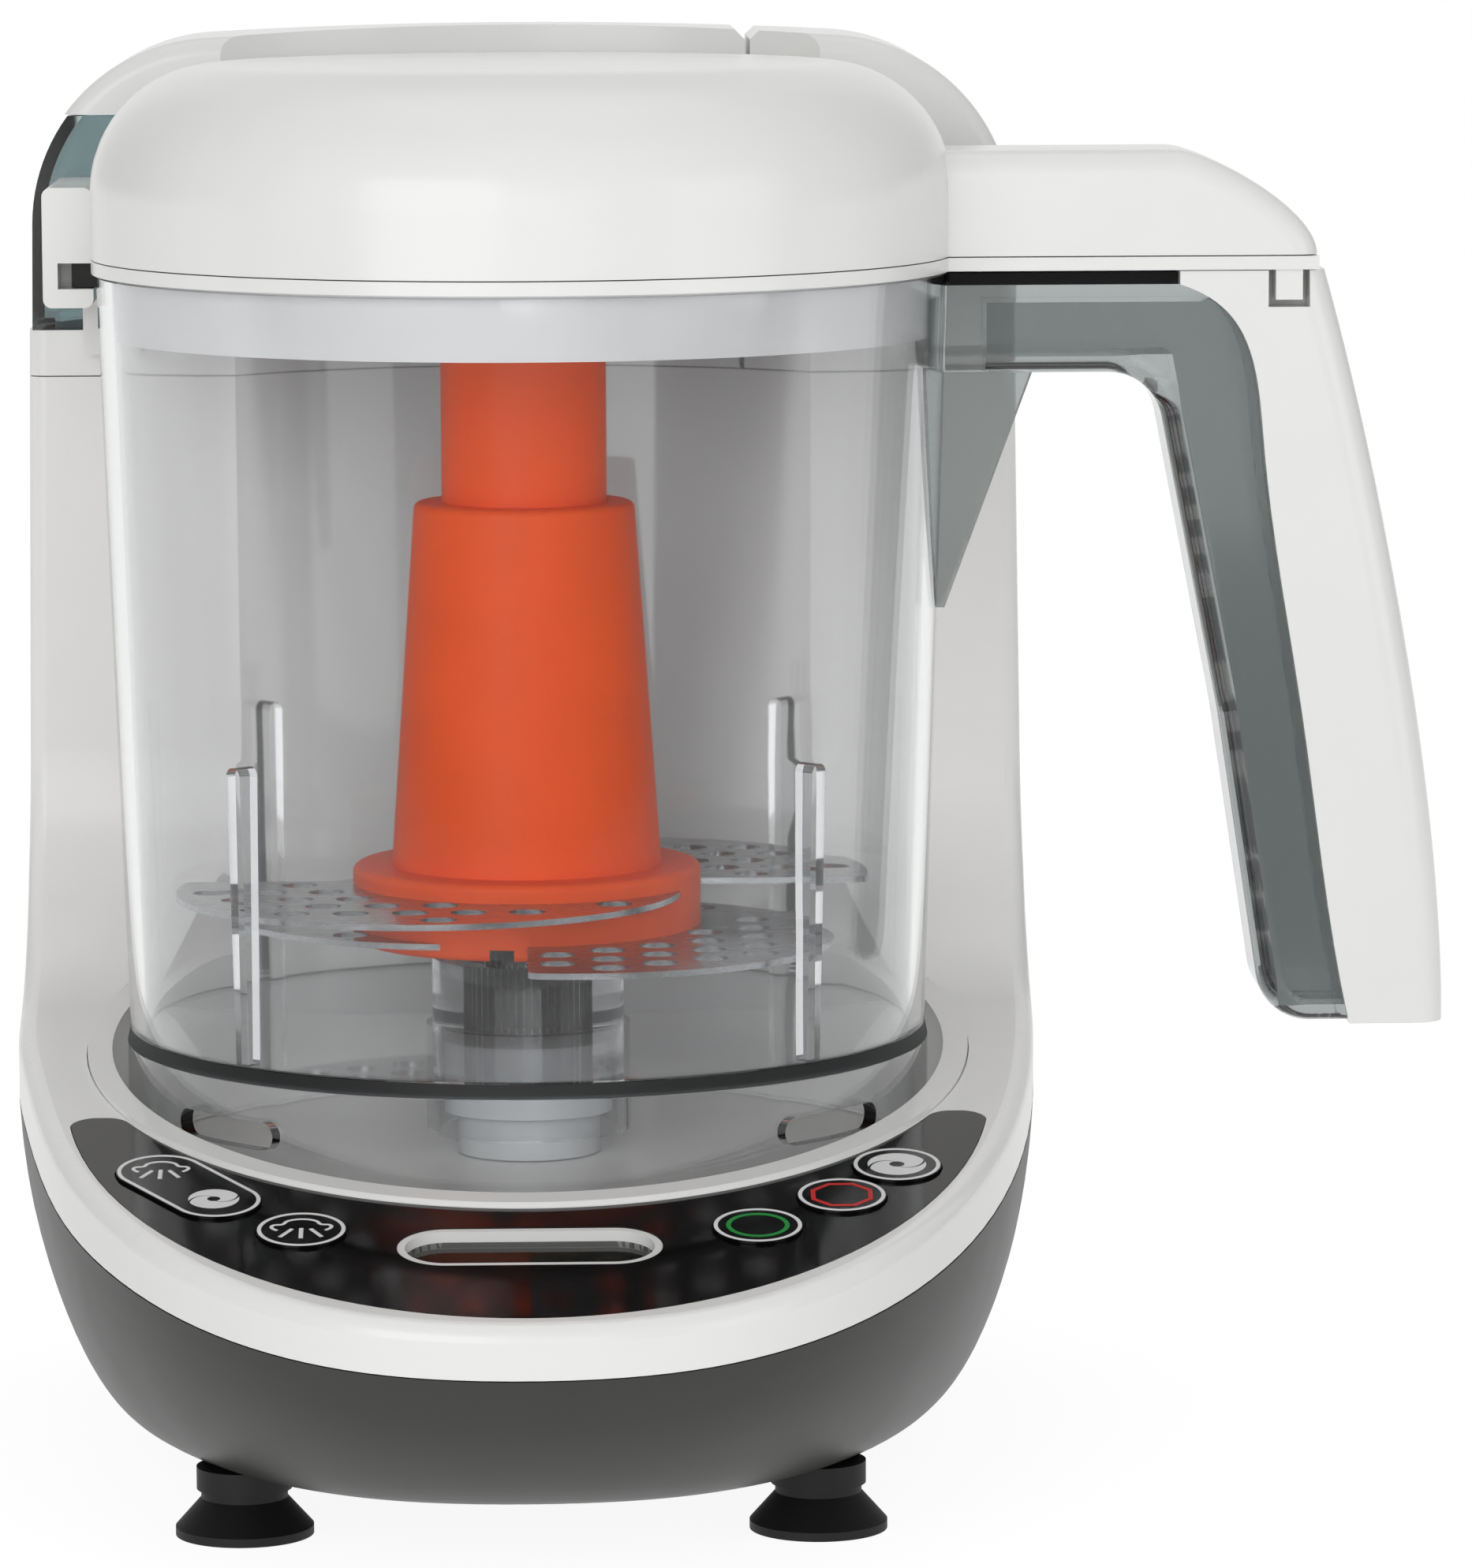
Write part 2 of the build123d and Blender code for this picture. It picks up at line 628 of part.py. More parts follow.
def make_control_panel():
    """Thin black panel with holes for the buttons and the display."""
    panel = extrude(panel_plan(0), BODY_TOP) & slab(DECK, -PANEL_THICK, 0)
    panel -= window_pill(0, -PANEL_THICK, PANEL_THICK)
    panel -= double_disc(BUTTON_GAP, -PANEL_THICK, PANEL_THICK)
    for place in button_places()[2:]:
        panel -= button_disc(place, BUTTON_GAP, -PANEL_THICK, PANEL_THICK)
    return panel


def button_stem(place):
    """Stem that reaches from a button cap down to its switch."""
    middle = Pos(0, 0, -(CAP_UNDER + STEM_END) / 2)
    return on_deck(*place) * middle * Cylinder(BUTTON_STEM, STEM_END - CAP_UNDER)


def make_buttons():
    """One node for each button: a cap that stands a little proud, on its stems."""
    places = button_places()
    double = double_disc(0, -CAP_UNDER, BUTTON_PROUD) + button_stem(places[0]) + button_stem(places[1])
    names = ("steam_button", "start_button", "stop_button", "blend_button")
    buttons = {"steam_blend_button": double}
    for name, place in zip(names, places[2:]):
        buttons[name] = button_disc(place, 0, -CAP_UNDER, BUTTON_PROUD) + button_stem(place)
    return buttons


def make_display():
    """White window liner, glass and display module under the panel."""
    bezel = window_pill(-FIT, -DECK_SKIN, -FIT) - window_pill(-FIT - BEZEL_WALL, -DECK_SKIN, 0)
    glass = window_pill(-FIT - BEZEL_WALL, -DECK_SKIN, GLASS_THICK - DECK_SKIN)
    body = Box(WINDOW_LENGTH + 2 * LCD_MARGIN, WINDOW_WIDTH + 2 * LCD_MARGIN, LCD_THICK)
    module = on_deck(*window_centre()) * Pos(0, 0, -DECK_SKIN - LCD_THICK / 2) * body
    return {"display_bezel": bezel, "display_glass": glass, "lcd_module": module}


def make_control_board():
    """Crescent circuit board that hangs on the deck's bosses."""
    return extrude(panel_plan(-BOARD_INSET), BODY_TOP) & slab(DECK, -BOARD_DEPTH - BOARD_THICK, -BOARD_DEPTH)


def make_tact_switches():
    """Push switches on the control board, one under each button stem."""
    height = BOARD_DEPTH - STEM_END - BUTTON_TRAVEL - SEAT_GAP
    switches = []
    for place in button_places():
        seat = on_deck(*place) * Pos(0, 0, -BOARD_DEPTH + height / 2)
        switches.append(seat * Box(SWITCH_SIZE, SWITCH_SIZE, height))
    return Part() + switches


# Drive
def make_drive():
    """Motor, its plate and screws, and the shaft with its coupling."""
    can = column(MOTOR_RADIUS, MOTOR_LOW, MOTOR_TOP) - column(SHAFT_RADIUS + RUN_CLEARANCE, 0, BODY_TOP)
    plate = tube(MOTOR_PLATE_RADIUS, SHAFT_HOLE, MOTOR_TOP, MOTOR_PLATE_TOP)
    screws = []
    for x, y in MOTOR_SCREWS:
        plate -= column(SCREW_RADIUS + FIT, 0, BODY_TOP, (x, y))
        head = column(SCREW_HEAD, MOTOR_TOP - SCREW_HEAD_HEIGHT, MOTOR_TOP, (x, y))
        screws.append(head + column(SCREW_RADIUS, MOTOR_TOP, WELL_UNDER, (x, y)))
    shaft = column(SHAFT_RADIUS, MOTOR_LOW - MOTOR_BOSS, DOG_LOW)
    coupling = column(COUPLING_RADIUS, WELL_FLOOR + SEAT_GAP, DOG_LOW) - column(SHAFT_RADIUS, 0, DOG_LOW)
    coupling += dogs(0, DOG_LOW, DOG_TOP)
    return {
        "motor_can": can,
        "motor_plate": plate,
        "motor_screws": Part() + screws,
        "motor_shaft": shaft,
        "drive_coupling": coupling,
    }


def dogs(grow, low, high):
    """Crossed driving teeth."""
    half, side = DOG_LENGTH / 2 + grow, DOG_WIDTH / 2 + grow
    return block((-half, -side, low), (half, side, high)) + block((-side, -half, low), (side, half, high))


# Steam and power
def make_steam():
    """Boiler on its bracket, with its thermostat, valve, hoses and nozzle."""
    x, y = WATER_PORT
    port = STEAM_PORT
    back = REAR_REACH - WALL - SEAT_GAP
    corner = (x + BRACKET_SHIFT, y - BOILER_RADIUS + WALL, BOILER_LOW - WALL)
    bracket = block(corner, (x + BOILER_RADIUS, back, BOILER_LOW))
    start = (x - HOSE_SHIFT, y, BOILER_LOW)
    route = [start, (start[0], y, HOSE_RUN), (port[0], port[1], HOSE_RUN), (port[0], port[1], NOZZLE_LOW)]
    path = FilletPolyline(*route, radius=HOSE_BEND)
    end = Plane(origin=start, z_dir=(0, 0, -1))
    steam_hose = sweep(end * (Circle(HOSE_RADIUS) - Circle(HOSE_BORE)), path=path)
    nozzle = tube(NOZZLE_RADIUS, STUB_RADIUS + NOZZLE_GAP, WELL_FLOOR, NOZZLE_TOP, port)
    nozzle += tube(NOZZLE_SPIGOT, STUB_BORE, NOZZLE_LOW, WELL_FLOOR, port)
    nozzle += tube(NOZZLE_RADIUS, STUB_BORE, WELL_FLOOR, WELL_FLOOR + FIT, port)
    return {
        "boiler": column(BOILER_RADIUS, BOILER_LOW, BOILER_TOP, WATER_PORT),
        "boiler_bracket": bracket,
        "thermostat": column(THERMOSTAT_RADIUS, BOILER_TOP, BOILER_TOP + WALL, (x + 2 * HOSE_RADIUS, y)),
        "water_valve": tube(VALVE_RADIUS, HOSE_BORE, VALVE_LOW, TANK_FLOOR, WATER_PORT),
        "water_hose": tube(HOSE_RADIUS, HOSE_BORE, BOILER_TOP, VALVE_LOW, WATER_PORT),
        "steam_hose": steam_hose,
        "steam_nozzle": nozzle,
    }


def make_power_board():
    """Power board on its posts, with a transformer, a capacitor and a relay."""
    (right, rear), (left, front) = BOARD_POSTS[0], BOARD_POSTS[3]
    edge = BOARD_POST_RADIUS
    top = POWER_BOARD_Z + BOARD_THICK
    board = block((left - edge, front - edge, POWER_BOARD_Z), (right + edge, rear + edge, top))
    middle = (front + rear) / 2
    length, width, height = TRANSFORMER
    transformer = block((left, middle - width / 2, top), (left + length, middle + width / 2, top + height))
    length, width, height = RELAY
    relay = block((right - length, middle - width / 2, top), (right, middle + width / 2, top + height))
    capacitor = column(CAPACITOR_RADIUS, top, top + CAPACITOR_HEIGHT, (0, middle))
    return {"power_board": board, "board_components": Part() + [transformer, relay, capacitor]}


def make_base_screws():
    """Screws that hold the lower shell to the housing."""
    screws = []
    for x, y in BASE_SCREWS:
        head = column(SCREW_HEAD, SHELL_BOTTOM - SCREW_HEAD_HEIGHT, SHELL_BOTTOM, (x, y))
        screws.append(head + column(SCREW_RADIUS, SHELL_BOTTOM, SCREW_TIP, (x, y)))
    return Part() + screws


def make_foot(x, y):
    """Suction cup with a flat lip, a neck and a post with a stud into the shell."""
    hollow = CUP_HEIGHT - 2 * CUP_LIP
    stud_top = SHELL_BOTTOM + 2 * WALL
    cup = turned(
        [
            (CUP_RADIUS - CUP_LIP, 0), (CUP_RADIUS, 0), (CUP_RADIUS, CUP_LIP), (NECK_RADIUS, CUP_HEIGHT),
            (NECK_RADIUS, CUP_HEIGHT + CUP_LIP), (POST_FOOT_RADIUS, CUP_HEIGHT + CUP_LIP),
            (POST_FOOT_RADIUS, SHELL_BOTTOM), (STUD_RADIUS, SHELL_BOTTOM), (STUD_RADIUS, stud_top),
            (0, stud_top), (0, hollow),
        ]
    )
    return Pos(x, y, 0) * cup


# Bowl
def bowl_radius(height):
    """Outside radius of the bowl wall at a height."""
    share = (height - FLOOR_LOW) / (BOWL_TOP - FLOOR_LOW)
    return BOWL_BASE_RADIUS + share * (BOWL_TOP_RADIUS - BOWL_BASE_RADIUS)


def bowl_cone(inset, low):
    """Solid cone of the bowl's outside, set in by a share of its wall."""
    top = BOWL_TOP_RADIUS - inset
    return turned([(0, low), (bowl_radius(low) - inset, low), (top, BOWL_TOP), (0, BOWL_TOP)])


def make_bowl():
    """Clear bowl with its skirt, floor, spindle post, ribs, steam stub and skirt slots."""
    skirt_in = SKIRT_RADIUS - BOWL_WALL
    bowl = turned(
        [
            (POST_BORE, POST_TOP), (POST_RADIUS, POST_TOP), (POST_RADIUS, POST_COLLAR_TOP),
            (POST_COLLAR_RADIUS, POST_COLLAR_TOP), (POST_COLLAR_RADIUS, FLOOR_TOP),
            (bowl_radius(FLOOR_TOP) - BOWL_WALL, FLOOR_TOP), (BOWL_TOP_RADIUS - BOWL_WALL, BOWL_TOP),
            (BOWL_TOP_RADIUS, BOWL_TOP), (bowl_radius(FLOOR_TOP), FLOOR_TOP), (SKIRT_RADIUS, FLOOR_LOW),
            (SKIRT_RADIUS, SKIRT_LOW), (skirt_in, SKIRT_LOW), (skirt_in, FLOOR_LOW), (POST_BORE, FLOOR_LOW),
        ]
    )
    inner = bowl_radius(FLOOR_TOP) - BOWL_WALL - RIB_DEPTH
    rib = block((inner, -RIB_WIDTH / 2, FLOOR_LOW), (BOWL_TOP_RADIUS, RIB_WIDTH / 2, RIB_TOP))
    length = BOWL_TOP_RADIUS - inner
    rib += Pos(inner + length / 2, 0, RIB_TOP) * Rot(0, 90, 0) * Cylinder(RIB_WIDTH / 2, length)
    rib &= bowl_cone(BOWL_WALL / 2, FLOOR_LOW)
    for index in range(RIB_COUNT):
        bowl += Rot(0, 0, 360 / RIB_COUNT * (index + 0.5)) * rib
    guard = CUP_DRIVE_RADIUS + GUARD_GAP
    bowl += tube(guard + GUARD_WALL, guard, STUB_LOW, FLOOR_LOW)
    bowl += column(STUB_RADIUS, STUB_LOW, FLOOR_LOW, STEAM_PORT)
    bowl -= column(STUB_BORE, STUB_LOW, FLOOR_TOP, STEAM_PORT)
    for side in (-1, 1):
        slot = Rot(0, 0, side * SLOT_ANGLE) * Pos(0, -SKIRT_RADIUS, SLOT_Z) * Rot(90, 0, 0)
        bowl -= slot * extrude(SlotOverall(SLOT_LENGTH, SLOT_HEIGHT), 2 * BOWL_WALL, both=True)
    return bowl


def make_spindle():
    """Bush and seal in the bowl's post, and the spindle with its driven coupling."""
    bore = SPINDLE_RADIUS + RUN_CLEARANCE
    pocket = DOG_TOP + SEAT_GAP
    cup = column(CUP_DRIVE_RADIUS, DOG_LOW + 2 * SEAT_GAP, FLOOR_LOW - WALL) - dogs(DOG_GAP, DOG_LOW, pocket)
    return {
        "spindle_bush": tube(POST_BORE, bore, FLOOR_LOW, POST_TOP - SEAL_THICK),
        "spindle_seal": tube(POST_BORE, bore, POST_TOP - SEAL_THICK, POST_TOP),
        "drive_spindle": column(SPINDLE_RADIUS, pocket, SPINDLE_TOP),
        "driven_coupling": cup - column(SPINDLE_RADIUS, pocket, BODY_TOP),
    }


# Handle
def grip_split():
    """Curve between the smoky frame and the white cover, from the top down."""
    return Spline(*GRIP_SPLIT)


def make_handle(bowl_core):
    """Smoky frame with its arm and gusset, white outer cover and black pad."""
    split = grip_split()
    top, low = GRIP_SPLIT[0], GRIP_SPLIT[-1]
    inner = FilletPolyline(low, *reversed(GRIP_INNER), radius=GRIP_BEND)
    frame_top = Polyline(GRIP_INNER[0], (GRIP_INNER[0][0], ARM_TOP), top)
    frame_face = make_face([*split.edges(), *inner.edges(), *frame_top.edges()])
    outer = Spline(*GRIP_OUTER)
    crown = Polyline(top, (top[0], LID_LOW - SEAT_GAP), GRIP_OUTER[0])
    heel = Polyline(GRIP_OUTER[-1], (GRIP_OUTER[-1][0], low[1]), low)
    cover_face = make_face([*split.edges(), *crown.edges(), *outer.edges(), *heel.edges()])
    frame = extrude(Plane.XZ * frame_face, FRAME_DEPTH / 2, both=True)
    frame = fillet([e for e in frame.edges() if runs_along(e, inner, FRAME_DEPTH)], FRAME_ROUND)
    gusset = make_face(Polyline(*GUSSET, close=True).edges())
    frame += extrude(Plane.XZ * gusset, GUSSET_THICK / 2, both=True)
    cover = extrude(Plane.XZ * cover_face, GRIP_DEPTH / 2, both=True)
    cover = fillet([e for e in cover.edges() if runs_along(e, outer, GRIP_DEPTH)], GRIP_ROUND)
    for side in (-1, 1):
        cover -= tab_block(side, TAB_GAP, TAB_LOW - TAB_GAP, LID_LOW)
    frame -= grip_hollow()
    frame -= bowl_core
    pad = block((BOWL_TOP_RADIUS, -PAD_WIDTH / 2, ARM_TOP), (top[0], PAD_WIDTH / 2, ARM_TOP + PAD_HEIGHT))
    return {"handle_frame": frame, "handle_cover": cover, "handle_pad": pad - bowl_core}


def grip_hollow():
    """Hollow of the smoky frame, open towards the cover."""
    start = BOWL_TOP_RADIUS + 2 * FRAME_WALL
    high = ARM_TOP - FRAME_WALL
    inner = [(x + FRAME_WALL, z + FRAME_WALL) for x, z in GRIP_INNER[1:]]
    points = [(start, inner[0][1]), *inner, (HANDLE_REACH, inner[-1][1]), (HANDLE_REACH, high), (start, high)]
    outline = make_face(Polyline(*points, close=True).edges())
    return extrude(Plane.XZ * outline, FRAME_DEPTH / 2 - FRAME_WALL, both=True)


def runs_along(edge, line, depth):
    """True for an edge of the handle's side faces that follows a line of its profile."""
    middle = edge.position_at(0.5)
    on_side = abs(abs(middle.Y) - depth / 2) < FIT
    return on_side and line.distance_to(Vector(middle.X, middle.Z, 0)) < FIT


def tab_block(side, grow, low, high):
    """Block at a lid tab, on one side of the handle."""
    outer = GRIP_DEPTH / 2
    near, far = side * (outer - TAB_DEPTH - grow), side * (outer + grow)
    return block((TAB_X[0] - grow, min(near, far), low), (TAB_X[1] + grow, max(near, far), high))


# Lid
def lid_block(inset):
    """Dome with its arm over the handle, set in by a wall."""
    top = LID_TOP - inset
    edge = LID_RADIUS - inset
    dome = Pos(0, 0, (LID_SPLIT + top) / 2) * Cylinder(edge, top - LID_SPLIT)
    dome = fillet(dome.edges().sort_by(Axis.Z)[-1], LID_SHOULDER - inset)
    end = LID_ARM_END - inset
    crest = LID_ARM_TOP - inset
    along = LID_ARM_STRAIGHT + LID_NOSE_PULL[0] * (end - LID_ARM_STRAIGHT)
    up = LID_SPLIT + LID_NOSE_PULL[1] * (crest - LID_SPLIT)
    nose = Bezier((LID_ARM_STRAIGHT, crest), (along, crest), (end, up), (end, LID_SPLIT))
    rest = Polyline((LID_ARM_STRAIGHT, crest), (0, crest), (0, LID_SPLIT), (end, LID_SPLIT))
    side = make_face([*nose.edges(), *rest.edges()])
    arm = extrude(Plane.XZ * side, LID_ARM_WIDTH / 2 - inset, both=True)
    return dome, arm


def make_lid():
    """Dome cover, base plate with the handle tabs, and the seal that hangs into the bowl."""
    dome, arm = lid_block(0)
    cover = dome + fillet(arm.edges().filter_by(is_arm_edge), LID_ARM_ROUND)
    inner_dome, inner_arm = lid_block(LID_WALL)
    cover -= inner_dome + inner_arm
    plate = Circle(LID_RADIUS) + Pos(LID_ARM_END / 2, 0) * Rectangle(LID_ARM_END, LID_ARM_WIDTH)
    base = Pos(0, 0, LID_LOW) * extrude(plate, LID_BASE_THICK - SEAM_GAP)
    for side in (-1, 1):
        base += tab_block(side, 0, TAB_LOW, LID_LOW)
    seal = tube(SEAL_RADIUS, SEAL_RADIUS - SEAL_WALL, SEAL_LOW, LID_LOW)
    return {"lid_cover": cover, "lid_base": base, "lid_seal": seal}


def is_arm_edge(edge):
    """True for the long top edges of the lid's arm and its nose."""
    middle = edge.position_at(0.5)
    return middle.Z > LID_SPLIT + 1 and abs(abs(middle.Y) - LID_ARM_WIDTH / 2) < 1 and middle.X > 1


# Blade set
def blade_plate(height, turn):
    """Perforated steel plate with two curved wings."""
    wing = Pos(*WING_OFFSET) * Circle(WING_RADIUS)
    wing &= Pos(0, -FAR / 2) * Rectangle(2 * FAR, FAR)
    wing = fillet(wing.vertices(), BLADE_TIP)
    plate = wing + Rot(0, 0, 180) * wing + Circle(BLADE_DISC)
    plate -= Circle(HUB_BORE)
    for x, y in blade_holes():
        plate -= Pos(x, y) * Circle(BLADE_HOLE) + Pos(-x, -y) * Circle(BLADE_HOLE)
    return Rot(0, 0, turn) * Pos(0, 0, height) * extrude(plate, BLADE_THICK)


def blade_holes():
    """Middles of the holes in the front left wing, in staggered rows clear of the hub and the edge."""
    room = WING_RADIUS - BLADE_HOLE - BLADE_MARGIN
    places = []
    for row in range(6):
        y = -BLADE_HOLE - BLADE_MARGIN - row * BLADE_PITCH * math.sqrt(3) / 2
        for column_index in range(-8, 8):
            x = (column_index + 0.5 * (row % 2)) * BLADE_PITCH
            inside = math.hypot(x - WING_OFFSET[0], y - WING_OFFSET[1]) < room
            if inside and math.hypot(x, y) > FLANGE_RADIUS + BLADE_HOLE:
                places.append((x, y))
    return places


def make_blade_set():
    """Orange hub and stem with the two steel plates let into the hub's flange."""
    upper = blade_plate(UPPER_BLADE_Z, 0)
    lower = blade_plate(LOWER_BLADE_Z, 90)
    hub = turned(
        [
            (HUB_BORE, FLANGE_LOW), (FLANGE_RADIUS, FLANGE_LOW), (FLANGE_RADIUS, FLANGE_TOP),
            (CONE_BASE_RADIUS, FLANGE_TOP), (CONE_TOP_RADIUS, CONE_TOP), (0, CONE_TOP), (0, HUB_BORE_TOP),
            (HUB_BORE, HUB_BORE_TOP),
        ]
    )
    circles = hub.edges().filter_by(GeomType.CIRCLE)
    rims = [e for e in circles if min(abs(e.radius - r) for r in (CONE_TOP_RADIUS, FLANGE_RADIUS)) < FIT]
    hub = fillet(rims, HUB_ROUND)
    peg_low = CONE_TOP - STEM_PEG_LENGTH
    hub -= column(STEM_PEG, peg_low, CONE_TOP)
    hub -= column(SPINDLE_RADIUS, HUB_BORE_TOP, SPINDLE_TOP)
    notch_top = FLANGE_LOW + NOTCH_SIZE / 2
    hub -= block((-NOTCH_PLACE - NOTCH_SIZE, -FAR, FLANGE_LOW), (-NOTCH_PLACE, -HUB_BORE, notch_top))
    hub -= upper
    hub -= lower
    stem = column(STEM_RADIUS, CONE_TOP, STEM_TOP) + column(STEM_PEG, peg_low, CONE_TOP)
    return {"blade_hub": hub, "hub_stem": stem, "upper_blade": upper, "lower_blade": lower}


# Water tank
def make_tank(body):
    """Tank with its white collar and valve, and the hinged lid on its pin."""
    left = block((-FAR, TOWER_FRONT, TANK_FLOOR), (TANK_RIGHT, FAR, FAR))
    head = body - column(RECESS_RADIUS, 0, BODY_TOP)
    collar = head & left & block((-FAR, -FAR, TANK_FLOOR + SEAT_GAP), (FAR, FAR, COLLAR_TOP))
    inset = COLLAR_WALL + FIT
    collar -= tower_cavity(inset) & block((-FAR, 0, 0), (TANK_RIGHT - inset, FAR, FAR))
    core = tower_cavity(TANK_STEP) & block((-FAR, 0, COLLAR_TOP), (TANK_RIGHT - TANK_STEP, FAR, TANK_RIM))
    foot = tower_cavity(COLLAR_WALL + 2 * FIT)
    foot &= block((-FAR, 0, TANK_FLOOR + SEAT_GAP), (TANK_RIGHT - COLLAR_WALL - 2 * FIT, FAR, COLLAR_TOP))
    inset = COLLAR_WALL + 2 * FIT + TANK_WALL
    hollow = tower_cavity(inset) & block(
        (-FAR, 0, TANK_FLOOR + SEAT_GAP + TANK_WALL), (TANK_RIGHT - inset, FAR, TANK_RIM)
    )
    wide = tower_cavity(TANK_STEP + TANK_WALL)
    wide &= block((-FAR, 0, COLLAR_TOP + TANK_WALL), (TANK_RIGHT - TANK_STEP - TANK_WALL, FAR, TANK_RIM))
    tank = core + foot - hollow - wide
    pin_y, pin_z = REAR_REACH - HINGE_ROUND, TANK_RIM + SEAT_GAP + HINGE_ROUND
    lid = head & left & block((-FAR, -FAR, TANK_RIM + SEAT_GAP), (FAR, FAR, FAR))
    lid -= tower_cavity(WALL) & block((-FAR, 0, 0), (TANK_RIGHT - WALL, FAR, BODY_TOP - WALL))
    lid -= head_notch()
    heel = block((-FAR, pin_y, TANK_RIM), (FAR, FAR, pin_z))
    lid -= heel - hinge_rod(HINGE_ROUND, -FAR, FAR, pin_y, pin_z)
    lid += hinge_rod(HINGE_ROUND, HINGE_EARS[0], HINGE_EARS[1], pin_y, pin_z) & left
    for x in HINGE_EARS:
        first = x - EAR_WIDTH / 2
        room, last = HINGE_ROUND + EAR_GAP, first + EAR_WIDTH
        lid -= ear(room, first - EAR_GAP, last + EAR_GAP, pin_y, pin_z)
        lid -= block((first - EAR_GAP, pin_y, TANK_RIM), (last + EAR_GAP, FAR, pin_z + room))
        tank += ear(HINGE_ROUND - EAR_GAP, first, last, pin_y, pin_z)
    reach = EAR_WIDTH / 2
    pin = hinge_rod(HINGE_PIN, HINGE_EARS[0] - reach, HINGE_EARS[1] + reach, pin_y, pin_z)
    lid -= hinge_rod(HINGE_PIN + RUN_CLEARANCE, HINGE_EARS[0], HINGE_EARS[1], pin_y, pin_z)
    tank -= pin
    tank -= column(VALVE_STEM, TANK_FLOOR, COLLAR_TOP, WATER_PORT)
    valve = column(VALVE_STEM, TANK_FLOOR + SEAT_GAP, COLLAR_TOP, WATER_PORT)
    return {
        "water_tank": tank,
        "tank_collar": collar,
        "tank_valve": valve,
        "tank_lid": lid,
        "tank_hinge_pin": pin,
    }


def hinge_rod(radius, first, last, y, z):
    """Level rod along the tank lid's hinge."""
    return Pos((first + last) / 2, y, z) * Rot(0, 90, 0) * Cylinder(radius, last - first)


def ear(radius, first, last, y, z):
    """Round ear on the tank's rear rim, with its foot."""
    foot = block((first, y - radius, TANK_RIM - TANK_WALL), (last, y + radius, z))
    return foot + hinge_rod(radius, first, last, y, z)


# Interlock
def make_interlock():
    """Bracket beside the lid, its switch, and the black plunger that feels the lid's rim."""
    middle = BRACKET_FRONT + PLUNGER_DEPTH
    back = TOWER_FRONT - SEAT_GAP
    bracket = block((BRACKET_OUT, BRACKET_FRONT, BRACKET_LOW), (BRACKET_IN, back, BRACKET_TOP))
    bracket = fillet(bracket.edges().filter_by(Axis.Y), BRACKET_ROUND)
    outer, inner = BRACKET_FOOT
    front = TOWER_FRONT - BRACKET_POST
    bracket += block((outer, front, BRACKET_FOOT_LOW), (inner, back, BRACKET_LOW + BRACKET_POST))
    bracket += block((outer, front, BRACKET_FOOT_LOW), (inner, TOWER_FRONT, BRACKET_LOW))
    low, high = PLUNGER_Z - PLUNGER_HEIGHT / 2, PLUNGER_Z + PLUNGER_HEIGHT / 2
    end = BRACKET_OUT + WALL
    bracket -= block((end, -FAR, low - FIT), (FAR, middle + PLUNGER_DEPTH / 2 + FIT, high + FIT))
    near, far = SWITCH_DEPTH
    side = BRACKET_IN - WALL / 2
    bracket -= block((end - FIT, near - FIT, BRACKET_LOW), (side + FIT, far + FIT, SWITCH_TOP + FIT))
    switch = block((end, near, BRACKET_LOW), (side, far, SWITCH_TOP))
    tip = -math.sqrt(LID_RADIUS**2 - (middle - PLUNGER_DEPTH / 2) ** 2) - PLUNGER_GAP
    near, far = middle - PLUNGER_DEPTH / 2, middle + PLUNGER_DEPTH / 2
    plunger = block((end + PLUNGER_TRAVEL + FIT, near, low), (tip, far, high))
    plunger = fillet(plunger.faces().sort_by(Axis.X)[-1].edges(), PLUNGER_ROUND)
    return {"interlock_bracket": bracket, "interlock_switch": switch, "interlock_plunger": plunger}


def make_parts():
    """Every node of the object by name, laid out round the drive axis."""
    body = rounded_body()
    bowl_core = bowl_cone(0, FLOOR_TOP)
    parts = {
        "lower_shell": make_lower_shell(),
        "upper_housing": make_upper_housing(body),
        "bowl_well": make_bowl_well(),
        "head_cap": make_head_cap(body),
        "cord_gland": make_cord_gland(),
        "base_screws": make_base_screws(),
        "control_panel": make_control_panel(),
        "control_board": make_control_board(),
        "tact_switches": make_tact_switches(),
        "bowl": make_bowl(),
    }
    for name, (x, y) in FEET.items():
        parts[name] = make_foot(x, y)
    for group in (
        make_buttons(), make_display(), make_drive(), make_steam(), make_power_board(), make_spindle(),
        make_handle(bowl_core), make_lid(), make_blade_set(), make_tank(body), make_interlock(),
    ):
        parts.update(group)
    return parts


if __name__ == "__main__":
    os.makedirs("parts", exist_ok=True)
    for node, shape in make_parts().items():
        export_step(Pos(*ORIGIN_SHIFT) * shape, f"parts/{node}.step")
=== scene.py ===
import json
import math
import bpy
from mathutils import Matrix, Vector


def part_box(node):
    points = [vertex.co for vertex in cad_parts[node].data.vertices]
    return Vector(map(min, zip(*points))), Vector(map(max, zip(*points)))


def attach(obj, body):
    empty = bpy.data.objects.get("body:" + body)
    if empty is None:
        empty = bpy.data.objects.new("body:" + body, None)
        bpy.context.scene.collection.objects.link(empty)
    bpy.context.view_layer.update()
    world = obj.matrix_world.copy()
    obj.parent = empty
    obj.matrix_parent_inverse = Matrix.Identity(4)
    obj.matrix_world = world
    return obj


bl_info = {
    "name": "Baby Food Maker",
    "version": (1, 0, 0),
    "blender": (4, 5, 0),
    "location": "3D View > Sidebar > Food Maker",
    "description": "Finishes, printed symbols and studio of a baby food steamer and blender",
    "category": "Object",
}

import bmesh
import bpy
from bpy.props import FloatProperty, FloatVectorProperty, PointerProperty
from mathutils import Euler, Matrix, Vector

